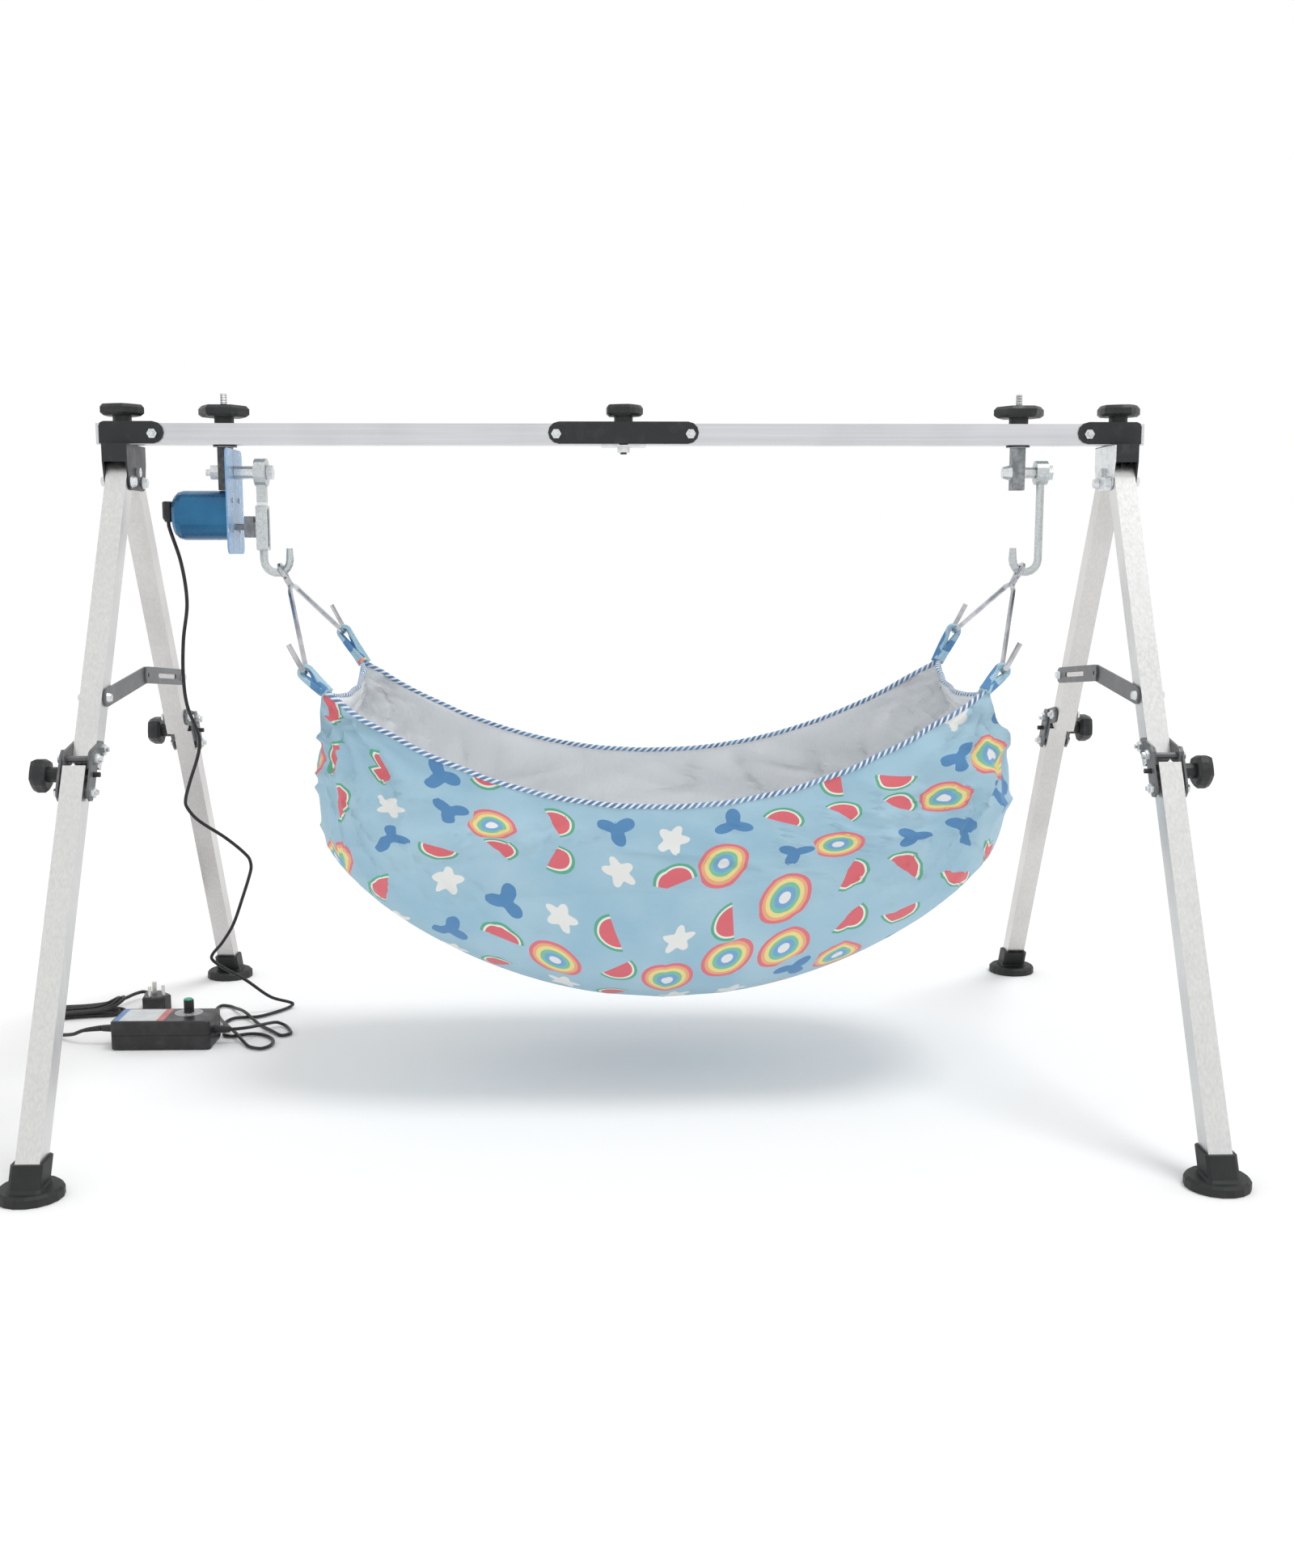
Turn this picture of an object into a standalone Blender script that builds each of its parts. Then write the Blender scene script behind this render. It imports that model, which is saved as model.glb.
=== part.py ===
"""An automatic swing cradle: a folding frame of square tube, two hook arms that
swing together, a motor that drives one of them, and a cloth sling between them.

Metres, +Z up. The floor is z = 0, the bar runs along X and the front is -Y.
The origin is on the floor under the middle of the frame.
"""
import math

import bmesh
import bpy
from mathutils import Matrix, Vector
from mathutils.geometry import tessellate_polygon

for old in list(bpy.data.objects):
    bpy.data.objects.remove(old)

# Fits that the whole model shares
GAP = 0.0003
CUT_OVERRUN = 0.004

# Square tube
TUBE = 0.0254
TUBE_WALL = 0.0014

# Top bar: two half bars, end to end
BAR_TOP = 0.8074
BAR_HALF = 0.640
BAR_JOINT = 0.011
CORNER_FROM_END = 0.029
CORNER_X = BAR_HALF - CORNER_FROM_END
HANGER_FROM_CORNER = 0.1235
HANGER_X = CORNER_X - HANGER_FROM_CORNER

# Legs
LEG_ANGLE = math.radians(28)
PIVOT_DROP = 0.045
PIVOT_Y = 0.0245
LEG_HEAD = 0.024
UPPER_LEN = 0.368
TUBE_SPACE = 0.002
SPREADER_UP = 0.084
SPREADER_DOWN = UPPER_LEN - SPREADER_UP
SPREADER_RISE = 0.0146

# Feet
FOOT_R = 0.034
FOOT_H = 0.011
FOOT_CHAMFER = 0.003
FOOT_TUBE_Z = 0.0185
FOOT_SIDES = 18
SLEEVE_TOP = 0.036
SLEEVE_WALL = 0.0036

# Knuckles
KNUCKLE_DROP = 0.002
KNUCKLE_TIP = 0.0123
PLATE = 0.0025
STUD_DOWN = 0.0185
FIXING_DOWN = 0.0395
UPPER_BOLT_UP = 0.020
PLATE_MARGIN = 0.0105
PLATE_LIFT = 0.001
UPPER_TAIL = 0.028
TAIL_OUT = 0.005
TAIL_IN = 0.0145
SPACER_R = 0.007
SCREW_PROUD = 0.0075
RIVET_H = 0.002
SLOT_SHARES = (0.2, 0.7)
TURN_GAP = 0.0005

# Bolts, studs and nuts
BOLT_R = 0.003
BOLT_HEAD_R = 0.0062
BOLT_HEAD_H = 0.0045
BOLT_TIP = 0.0035
STUD_R = 0.004
NUT_R = 0.0075
NUT_H = 0.0065
BOLT_SIDES = 8
FIX_SIDES = 6
HEAD_SIDES = 10
STEM_SIDES = 12
CAP_SHARE = 0.72
HEX = 6

# Saddles that carry the legs
SADDLE_SHEET = 0.002
SADDLE_SWING = 0.0006
SADDLE_FIT = 0.0004
STUD_PROUD = 0.002
SADDLE_SIDE_DOWN = 0.055
SADDLE_FLANGE_DOWN = 0.022
SADDLE_ROUND = 0.010
PIVOT_BOLT_R = 0.004
PIVOT_HEAD_R = 0.0075
PIVOT_HEAD_H = 0.006
STOP_PIN_R = 0.003

# Corner and centre brackets
SHEET = 0.002
CORNER_IN = 0.053
CORNER_OUT = 0.025
CORNER_H = 0.0266
CORNER_ROUND = 0.006
CORNER_BOLT_IN = 0.040
CORNER_BOLT_X = CORNER_X - CORNER_BOLT_IN
CENTRE_HALF = 0.092
CENTRE_H = 0.0266
CENTRE_BOLT_X = 0.082
CLAMP_X = 0.054
CLAMP_Y = 0.030

# Hand knobs: lobes, radius, height of the head, radius and height of the stem
KNOB_STEM_R = 0.0115
KNOB_STEM_H = 0.0068
KNOB_HEAD_H = 0.0135
CORNER_KNOB_R = 0.027
CORNER_LOBES = 5
CENTRE_KNOB_R = 0.024
HANGER_KNOB_R = 0.031
HANGER_LOBES = 6
HANGER_STEM_R = 0.012
KNUCKLE_KNOB_R = 0.020
KNUCKLE_KNOB_H = 0.017
KNUCKLE_STEM_R = 0.00875
KNUCKLE_STEM_H = 0.012
LOBE_DEPTH_SHARE = 0.14

# Hangers: a rod, a block and an axle on each side
ROD_R = 0.004
ROD_PROUD = 0.0356
ROD_TOP = BAR_TOP + ROD_PROUD
WASHER_R = 0.0145
WASHER_SIDES = 16
HANGER_STEM_H = 0.0075
BLOCK = 0.016
BLOCK_TOP_DROP = 0.0025
BLOCK_LEN = 0.052
AXLE_DROP = 0.033
AXLE_R = 0.004
AXLE_NUT_R = 0.0098
AXLE_NUT_H = 0.010
AXLE_TIP = 0.0065
AXLE_HEAD_R = 0.0098
AXLE_HEAD_H = 0.007
AXLE_CAP_R = 0.010
AXLE_CAP_H = 0.0107
SLEEVE_R = 0.008
FREE_SLEEVE_R = 0.007
FREE_NUT_H = 0.006

# Swing arms, placed from their hanger's rod
LEFT_ARM_X = 0.043
RIGHT_ARM_X = 0.0295
ARM_EYE_R = 0.017
ARM_EYE_X = 0.014
FREE_EYE_R = 0.01475
FREE_EYE_X = 0.0146
NECK_TOP_SHARE = 0.7
ARM_NECK_X = 0.011
ARM_NECK_Y = 0.013
ARM_NECK_LEN = 0.0403
SLOT_BLOCK_LEN = 0.0541
ARM_SLOT_BLOCK_X = 0.013
SLOT_BLOCK_Y = 0.022
SLOT_BLOCK_ROUND = 0.003
SLOT_R = 0.004
HOOK_ROD_R = 0.005
HOOK_BEND_R = 0.0159
HOOK_DOWN = 0.127
HOOK_TIP = 0.014
HOOK_SIDES = 8

# Motor and its crank
PLATE_X = 0.002
PLATE_Y = 0.084
PLATE_H = 0.127
PLATE_UP = 0.028
PLATE_ROUND = 0.008
MOTOR_DOWN = 0.052
MOTOR_R = 0.030
MOTOR_LEN = 0.072
MOTOR_ROUND = 0.012
SCREW_Y = 0.018
SCREW_HEAD_H = 0.002
SHAFT_DOWN = 0.066
SHAFT_R = 0.004
SHAFT_WELL = 0.020
SOCKET_DOWN = 0.046
SOCKET_R = 0.0035
SOCKET_DEEP = 0.010
CRANK_X = (0.0215, 0.033)
CRANK_Y = 0.016
CRANK_H = 0.026
CRANK_THROW = 0.009
CRANK_PIN_R = 0.003

# Wire hangers, measured down their own leaning plane from the hook
WIRE_R = 0.00325
WIRE_LOOP_R = 0.0088
WIRE_TILT = math.radians(26)
WIRE_ROLL = math.radians(7)
WIRE_NECK_Y = 0.0037
WIRE_NECK_Z = 0.0165
WIRE_SHOULDER_Y = 0.021
WIRE_SHOULDER_Z = 0.026
WIRE_ARM_Y = 0.141
WIRE_DROP = 0.102
WIRE_BEND_R = 0.009
WIRE_TIP = 0.030
WIRE_SIDES = 6

# Sling: an open bowl of cloth with a net lining
SLING_SHIFT = 0.002
SLING_END_IN = 0.070
SLING_DRIFT = 0.0165
SLING_BULGE = 0.0145
SLING_MID_Y = 0.195
SLING_END_Y = 0.150
SLING_END_BOW = 0.008
SLING_DOWN = 0.508
FLOOR_RISE = 0.145
RIM_DOWN = 0.250
RIM_RISE = 0.128
RIM_POWER = 2.1
RIM_LEAN = 0.010
END_DIP = 0.018
END_POWER = 6
SIDE_POWER = 2.6
PLAN_POWER = 4.4
ROUND_DEPTH_SHARE = 0.4
CORNER_TURN = 28
SIDE_STEPS = 11
END_STEPS = 5
DEPTH_SHARES = (0, 0.32, 0.64, 0.83, 0.94, 0.987, 0.9995)
LOOP_SPREAD_SHARE = 1.7
PLEAT = 0.0012
CLOTH = 0.0024
NET = 0.0015
LINING_GAP = 0.0008
LOOP_STEPS = 6
LOOP_R = 0.0035
LOOP_OUT = 0.0024

# Speed control, its knob and its glands
BOX_OUT = 0.00325
BOX_X = -CORNER_X - BOX_OUT
BOX_Y = 0.0865
BOX_LEN = 0.1305
BOX_DEPTH = 0.063
BOX_H = 0.039
BOX_ROUND = 0.004
BOX_EDGE = 0.0015
SEAM_DEEP = 0.0006
SEAM_H = 0.0008
GLAND_Y = 0.085
GLAND_R = 0.0058
GLAND_TIP_R = 0.0042
GLAND_LEN = 0.020
GLAND_BORE = 0.006
MAINS_GLAND_Z = 0.0217
MOTOR_GLAND_Z = 0.019
DIAL_IN = 0.0375
DIAL_FROM_BACK = 0.020
DIAL_KNOB_R = 0.0065
DIAL_KNOB_H = 0.0195
DIAL_CAP = 0.0015
DIAL_RIB = 0.0006
DIAL_SHAFT_R = 0.003
DIAL_WELL = 0.008

# Plug at the motor
DC_PLUG_OUT = 0.0084
DC_PLUG_DOWN = 0.014
DC_PLUG_UP = 0.011
DC_PLUG_R = 0.0072
DC_ROUND = 0.0015
DC_TAIL_R = 0.0042
DC_TAIL_LEN = 0.005
CORD_IN = 0.003

# Cords: the lead hangs from the motor's plug and ends at the right gland
LEAD_R = 0.00225
MAINS_R = 0.0025
FINE_STEP = 0.004
CORD_END_STEPS = 2
LEAD_NEAREST = 0.012
LEAD_TURN = math.radians(24)
LEAD_FARTHEST = 0.045
LEAD_HANG = ((0.0032, 0.000, 0.973), (0.0115, 0.002, 0.933), (0.0170, 0.004, 0.897),
             (0.0148, 0.010, 0.834), (0.0082, 0.015, 0.789), (0.0035, 0.025, 0.712),
             (0.0042, 0.030, 0.673), (0.0121, 0.040, 0.642), (0.0139, 0.050, 0.610),
             (0.0080, 0.060, 0.561), (-0.0039, 0.070, 0.521), (-0.0135, 0.080, 0.494),
             (-0.0168, 0.090, 0.468), (-0.0084, 0.100, 0.442), (0.0025, 0.110, 0.424),
             (0.0427, 0.140, 0.368), (0.0518, 0.150, 0.336), (0.0407, 0.165, 0.288),
             (0.0176, 0.185, 0.207), (0.0031, 0.195, 0.170), (-0.0145, 0.200, 0.145),
             (-0.0206, 0.205, 0.128), (-0.0132, 0.210, 0.111), (0.0157, 0.220, 0.081),
             (0.0503, 0.235, 0.034))
LEAD_FLOOR = ((0.0500, 0.1720, 0.0030), (0.0390, 0.1480, 0.0000), (0.0104, 0.1151, 0.0000),
              (-0.0161, 0.1116, 0.0000), (-0.0265, 0.0950, 0.0000), (-0.0250, 0.0670, 0.0000),
              (-0.0185, 0.0430, 0.0000), (-0.0140, 0.0270, 0.0000), (-0.0020, 0.0220, 0.0000),
              (0.0165, 0.0325, 0.0000), (0.0370, 0.0280, 0.0000), (0.0540, 0.0080, 0.0000),
              (0.0580, -0.0191, 0.0000), (0.0455, -0.0348, 0.0000), (0.0222, -0.0148, 0.0000),
              (0.0000, 0.0245, 0.0060), (-0.0130, 0.0450, 0.0040), (-0.0270, 0.0770, 0.0060),
              (-0.0430, 0.1150, 0.0000), (-0.0560, 0.1575, 0.0000), (-0.0500, 0.1760, 0.0000),
              (-0.0358, 0.1656, 0.0000), (-0.0076, 0.1195, 0.0060), (0.0170, 0.0850, 0.0000),
              (0.0410, 0.0530, 0.0000), (0.0600, 0.0270, 0.0000), (0.0725, 0.0230, 0.0000),
              (0.0718, 0.0420, 0.0000), (0.0600, 0.0700, 0.0000), (0.0480, 0.0760, 0.0030),
              (0.0385, 0.0570, 0.0075), (0.0290, 0.0300, 0.0120), (0.0195, 0.0080, 0.0160))
MAINS_FLOOR = ((-0.0260, 0.0030, -0.0040), (-0.0500, 0.0150, -0.0140), (-0.0820, 0.0400, -0.0188),
               (-0.1060, 0.0700, -0.0188))

# The mains cord's hank, measured along and across its tie
HANK_LOOPS = 2
HANK_TURNS = 4.3
HANK_STEPS = 24
HANK_PITCH = 0.0070
HANK_LAYER = 0.0058
HANK_LONG = 0.042
HANK_WIDE = 0.010
HANK_WAIST = 0.0042
HANK_LOBE_SHARE = 0.6
HANK_SQUARE = 0.8
HANK_FAN = 0.014
HANK_TURN = math.radians(12)
HANK_LEFT = 0.0855
HANK_BACK = 0.1355
TAIL_STEP = 0.011
HANK_TAIL = ((-0.0360, -0.0200, -0.0010), (-0.0270, 0.0010, 0.0000), (-0.0165, 0.0175, 0.0000))

# Mains plug, on its back with its pins up
PLUG_OUT = 0.065
PLUG_X = -CORNER_X - PLUG_OUT
PLUG_PLACE_Y = 0.256
PLUG_TURN = math.radians(115)
PLUG_LEN = 0.040
PLUG_Y = 0.040
PLUG_BACK_Y = 0.022
PLUG_H = 0.021
PLUG_EDGE = 0.002
PLUG_TOP_SHARE = 0.93
PLUG_NECK = 0.018
PLUG_NECK_R = 0.0062
PLUG_NECK_Z = 0.0105
PIN_R = 0.0025
PIN_H = 0.015
PIN_Y = 0.0095
PIN_EARTH_R = 0.0035
PIN_EARTH_H = 0.017
PIN_EARTH_X = 0.006
PIN_BACK = 0.0175


# Plain solids, each returned as an object that a union can use

def link(mesh, name="piece"):
    piece = bpy.data.objects.new(name, mesh)
    bpy.context.scene.collection.objects.link(piece)
    return piece


def solid(verts, faces):
    """One closed body, its faces turned outward."""
    shape = bmesh.new()
    corners = [shape.verts.new(v) for v in verts]
    for face in faces:
        shape.faces.new([corners[i] for i in face])
    bmesh.ops.recalc_face_normals(shape, faces=shape.faces)
    mesh = bpy.data.meshes.new("solid")
    shape.to_mesh(mesh)
    shape.free()
    return link(mesh)


def on_axis(axis, along, u, v):
    """A point at a distance along an axis, u and v across it."""
    if axis == "X":
        return (along, u, v)
    if axis == "Y":
        return (u, along, v)
    return (u, v, along)


def loft(axis, sections):
    """A body through outlines of equal count, each at its distance along the axis."""
    count = len(sections[0][1])
    verts = [on_axis(axis, along, u, v) for along, outline in sections for u, v in outline]
    last = count * (len(sections) - 1)
    faces = [tuple(range(count)), tuple(range(last, last + count))]
    for ring in range(len(sections) - 1):
        for i in range(count):
            j = (i + 1) % count
            low = ring * count
            faces.append((low + i, low + j, low + count + j, low + count + i))
    return solid(verts, faces)


def prism(axis, outline, low, high, holes=()):
    """A plate or bar: an outline with its holes, pulled from low to high."""
    rings = [outline, *holes]
    if not holes:
        return loft(axis, [(low, outline), (high, outline)])
    loops = [[Vector((u, v, 0)) for u, v in ring] for ring in rings]
    caps = tessellate_polygon(loops)
    flat = [point for ring in rings for point in ring]
    count = len(flat)
    verts = [on_axis(axis, along, u, v) for along in (low, high) for u, v in flat]
    faces = [tuple(cap) for cap in caps]
    faces += [tuple(i + count for i in cap) for cap in caps]
    first = 0
    for ring in rings:
        size = len(ring)
        for i in range(size):
            a = first + i
            b = first + (i + 1) % size
            faces.append((a, b, b + count, a + count))
        first += size
    return solid(verts, faces)


def box(x, y, z):
    """A block between two limits on each axis."""
    return prism("Z", [(x[0], y[0]), (x[1], y[0]), (x[1], y[1]), (x[0], y[1])], *z)


def circle(u, v, radius, sides, turn=0.0):
    angles = [turn + 2 * math.pi * i / sides for i in range(sides)]
    return [(u + radius * math.cos(a), v + radius * math.sin(a)) for a in angles]


def rod(axis, u, v, radius, low, high, sides=BOLT_SIDES, turn=0.0):
    return prism(axis, circle(u, v, radius, sides, turn), low, high)


def turned(axis, u, v, profile, sides=BOLT_SIDES):
    """A lathe form: pairs of distance along the axis and radius."""
    return loft(axis, [(along, circle(u, v, radius, sides)) for along, radius in profile])


def dome(axis, u, v, radius, height, base, way, sides=HEAD_SIDES):
    """A bolt's round head on a face at base, standing up the way given, 1 or -1."""
    return turned(axis, u, v, [(base, radius), (base + way * height, radius * CAP_SHARE)], sides)


def arc(u, v, radius, start, end, steps):
    """Points round part of a circle, its ends included, angles in degrees."""
    angles = [math.radians(start + (end - start) * i / steps) for i in range(steps + 1)]
    return [(u + radius * math.cos(a), v + radius * math.sin(a)) for a in angles]


def stadium(u0, u1, v, radius, steps=6):
    """A strip with round ends, its end centres at u0 and u1."""
    return arc(u1, v, radius, -90, 90, steps) + arc(u0, v, radius, 90, 270, steps)


def rounded(u, v, radius, steps=3):
    """A rectangle between two limits each way, with round corners."""
    corners = [(u[1] - radius, v[1] - radius, 0), (u[0] + radius, v[1] - radius, 90),
               (u[0] + radius, v[0] + radius, 180), (u[1] - radius, v[0] + radius, 270)]
    points = []
    for centre_u, centre_v, start in corners:
        points += arc(centre_u, centre_v, radius, start, start + 90, steps)
    return points


def pipe(points, radius, sides, ring_scale=None):
    """A round bar along points, its rings kept from twisting."""
    path = [Vector(p) for p in points]
    steps = [(b - a).normalized() for a, b in zip(path, path[1:])]
    heading = [steps[0]]
    heading += [(a + b).normalized() for a, b in zip(steps, steps[1:])]
    heading.append(steps[-1])
    side = heading[0].orthogonal().normalized()
    verts = []
    for i, (point, way) in enumerate(zip(path, heading)):
        side = (side - way * side.dot(way)).normalized()
        across = way.cross(side)
        size = radius * (ring_scale[i] if ring_scale else 1)
        for k in range(sides):
            angle = 2 * math.pi * k / sides
            verts.append(point + size * (math.cos(angle) * side + math.sin(angle) * across))
    last = sides * (len(path) - 1)
    faces = [tuple(range(sides)), tuple(range(last, last + sides))]
    for ring in range(len(path) - 1):
        for k in range(sides):
            low = ring * sides
            turn = (k + 1) % sides
            faces.append((low + k, low + turn, low + sides + turn, low + sides + k))
    return solid(verts, faces)


def joined(parts, cuts=(), solver="EXACT"):
    """One body: the first part with the others added, then the cuts taken out."""
    body = parts[0]
    steps = [(part, "UNION") for part in parts[1:]] + [(cut, "DIFFERENCE") for cut in cuts]
    for tool, operation in steps:
        tool.hide_render = True
        tool.display_type = "WIRE"
        change = body.modifiers.new(operation.title(), "BOOLEAN")
        change.operation = operation
        change.solver = solver
        change.object = tool
    if steps:
        bpy.context.view_layer.update()
        graph = bpy.context.evaluated_depsgraph_get()
        mesh = bpy.data.meshes.new_from_object(body.evaluated_get(graph))
        body.modifiers.clear()
        body.data = mesh
    for tool, operation in steps:
        bpy.data.objects.remove(tool)
    return body


# Materials and names

def material(name, colour, roughness, metallic=0.0):
    made = bpy.data.materials.new(name)
    made.use_nodes = True
    shader = made.node_tree.nodes["Principled BSDF"]
    shader.inputs["Base Color"].default_value = (*colour, 1)
    shader.inputs["Roughness"].default_value = roughness
    shader.inputs["Metallic"].default_value = metallic
    return made


FINISHES = {
    "aluminium": ((0.80, 0.80, 0.79), 0.35, 1.0),
    "black_steel": ((0.020, 0.022, 0.026), 0.45, 0.3),
    "zinc": ((0.62, 0.64, 0.65), 0.35, 1.0),
    "grey_steel": ((0.17, 0.17, 0.18), 0.45, 0.8),
    "chrome": ((0.85, 0.86, 0.87), 0.12, 1.0),
    "black_plastic": ((0.018, 0.018, 0.020), 0.5, 0.0),
    "rubber": ((0.015, 0.016, 0.015), 0.7, 0.0),
    "blue_plastic": ((0.02, 0.18, 0.36), 0.4, 0.0),
    "clear_blue": ((0.16, 0.52, 0.80), 0.25, 0.0),
    "cotton": ((0.42, 0.66, 0.80), 0.9, 0.0),
    "net": ((0.86, 0.89, 0.92), 0.9, 0.0),
    "cable": ((0.018, 0.018, 0.020), 0.5, 0.0),
    "green_plastic": ((0.02, 0.33, 0.20), 0.4, 0.0),
}


def node(body, name, finish, parent=None, location=(0, 0, 0), rotation=(0, 0, 0)):
    """Names a finished body, gives it its material and puts it in its place."""
    body.name = name
    body.data.name = name
    body.data.materials.clear()
    body.data.materials.append(material(name, *FINISHES[finish]))
    if body.type == "MESH":
        body.data.shade_smooth()
        body.data.set_sharp_from_angle(angle=math.radians(35))
    body.parent = parent
    body.location = location
    body.rotation_euler = rotation
    return body


def marker(name, parent=None, location=(0, 0, 0), rotation=(0, 0, 0)):
    """An empty that stands on a joint's axis and carries what turns there."""
    empty = bpy.data.objects.new(name, None)
    bpy.context.scene.collection.objects.link(empty)
    empty.parent = parent
    empty.location = location
    empty.rotation_euler = rotation
    return empty


# Legs. Each stands in its own frame: the origin on the leg's pivot, -Z down the
# leg, -Y outward, and "out" is the sign of X that faces away from the sling.

PIVOT_Z = BAR_TOP - TUBE - PIVOT_DROP
LEG_STEP = TUBE + TUBE_SPACE
KNUCKLE_S = UPPER_LEN + KNUCKLE_DROP
FOOT_S = (PIVOT_Z + LEG_STEP * math.sin(LEG_ANGLE) - FOOT_TUBE_Z) / math.cos(LEG_ANGLE)
SPREADER_Y = PIVOT_Y + SPREADER_DOWN * math.sin(LEG_ANGLE)
SPREADER_LEN = math.hypot(SPREADER_Y, SPREADER_RISE)
SPREADER_LIFT = math.asin(SPREADER_RISE / SPREADER_LEN)
HALF_TUBE = TUBE / 2
UPPER_PLATE_IN = HALF_TUBE + GAP
UPPER_PLATE_OUT = UPPER_PLATE_IN + PLATE
LOWER_PLATE_IN = UPPER_PLATE_OUT + GAP
LOWER_PLATE_OUT = LOWER_PLATE_IN + PLATE


def square(u, v, half):
    return [(u + half, v + half), (u - half, v + half), (u - half, v - half), (u + half, v - half)]


def square_tube(axis, low, high):
    """A length of the frame's tube, open at both ends."""
    bore = square(0, 0, HALF_TUBE - TUBE_WALL)
    return prism(axis, square(0, 0, HALF_TUBE), low, high, [bore])


def hole(axis, u, v, radius, reach, clearance=TURN_GAP, sides=BOLT_SIDES):
    """A cutter that leaves a clearance round what passes through."""
    return rod(axis, u, v, radius + clearance, -reach - CUT_OVERRUN, reach + CUT_OVERRUN, sides)


def fixing_hole(axis, u, v, reach):
    return hole(axis, u, v, BOLT_R, reach, GAP, FIX_SIDES)


def upper_leg():
    cuts = [hole("X", 0, 0, PIVOT_BOLT_R, HALF_TUBE),
            hole("X", 0, -SPREADER_DOWN, BOLT_R, HALF_TUBE),
            fixing_hole("X", 0, UPPER_BOLT_UP - UPPER_LEN, HALF_TUBE)]
    return joined([square_tube("Z", -UPPER_LEN, LEG_HEAD)], cuts)


def lower_leg():
    """Measured from the knuckle's pivot, which lies above its open top end."""
    cuts = [hole("X", 0, -STUD_DOWN, BOLT_R, HALF_TUBE),
            fixing_hole("X", 0, -FIXING_DOWN, HALF_TUBE)]
    return joined([square_tube("Z", KNUCKLE_S - FOOT_S, -KNUCKLE_TIP)], cuts)


def foot():
    """A round pad with a leaning sleeve, measured from the tube's end."""
    floor = -FOOT_TUBE_Z
    top = floor + FOOT_H
    pad = turned("Z", 0, 0, [(floor, FOOT_R), (top - FOOT_CHAMFER, FOOT_R),
                             (top, FOOT_R - FOOT_CHAMFER)], FOOT_SIDES)
    lean = math.tan(LEG_ANGLE)
    half_x = HALF_TUBE + GAP + SLEEVE_WALL
    half_y = half_x / math.cos(LEG_ANGLE)

    def section(z, grow):
        middle = z * lean
        return (z, rounded((-half_x - grow, half_x + grow),
                           (middle - half_y - grow, middle + half_y + grow), SLEEVE_WALL, 1))

    sleeve = loft("Z", [section(top - FOOT_CHAMFER, FOOT_CHAMFER),
                        section(top + FOOT_CHAMFER, 0),
                        section(SLEEVE_TOP - FOOT_TUBE_Z, 0)])
    pocket = prism("Z", square(0, 0, HALF_TUBE + GAP), -GAP, SLEEVE_TOP + CUT_OVERRUN)
    pocket.data.transform(Matrix.Rotation(-LEG_ANGLE, 4, "X"))
    return joined([pad, sleeve], [pocket])


def plate_pair(outline, inner, outer, holes=()):
    """The same plate on both sides of the tube."""
    return [prism("X", outline, inner, outer, holes), prism("X", outline, -outer, -inner, holes)]


def through_bolt(y, z, reach, out, radius=BOLT_R, sides=FIX_SIDES):
    """A bolt across the tube: pan head on the outer side, nut and tip inside."""
    nut = -out * (reach + BOLT_HEAD_H)
    shank = rod("X", y, z, radius, *sorted((out * (reach + GAP), nut - out * BOLT_TIP)), sides)
    head = dome("X", y, z, BOLT_HEAD_R, BOLT_HEAD_H, out * (reach - GAP), out, BOLT_SIDES)
    hexagon = rod("X", y, z, BOLT_HEAD_R, *sorted((GAP * out - out * reach, nut)), HEX)
    return [shank, head, hexagon]


def knuckle_upper(out):
    """Two hook plates on the upper leg, measured from the knuckle's pivot."""
    bolt_y = LEG_STEP
    bolt_z = KNUCKLE_DROP + UPPER_BOLT_UP
    lean = math.degrees(math.atan2(bolt_z, bolt_y))
    outline = arc(bolt_y, bolt_z, PLATE_MARGIN, lean - 90, lean + 90, 4)
    outline += arc(0, 0, PLATE_MARGIN, lean + 90, 225, 4)
    outline += [(-TAIL_OUT, -UPPER_TAIL + TAIL_OUT), (0, -UPPER_TAIL), (TAIL_IN, -UPPER_TAIL)]
    knee_y, knee_z = arc(0, 0, PLATE_MARGIN, lean - 90, lean, 1)[0]
    outline.append((TAIL_IN, knee_z + (TAIL_IN - knee_y) * bolt_z / bolt_y))
    pivot = circle(0, 0, PIVOT_BOLT_R + TURN_GAP, BOLT_SIDES)
    plates = plate_pair(outline, UPPER_PLATE_IN, UPPER_PLATE_OUT, [pivot])
    reach = UPPER_PLATE_OUT + CUT_OVERRUN
    width = BOLT_R + TURN_GAP
    notch = arc(0, 0, STUD_DOWN + width, 190, 270, 5)
    notch += arc(0, -STUD_DOWN, width, -60, 60, 3)
    notch += arc(0, 0, STUD_DOWN - width, 270, 190, 5)
    cuts = [prism("X", notch, -reach, reach)]
    return joined(plates[:1] + through_bolt(bolt_y, bolt_z, UPPER_PLATE_OUT, out) + plates[1:], cuts)


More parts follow.
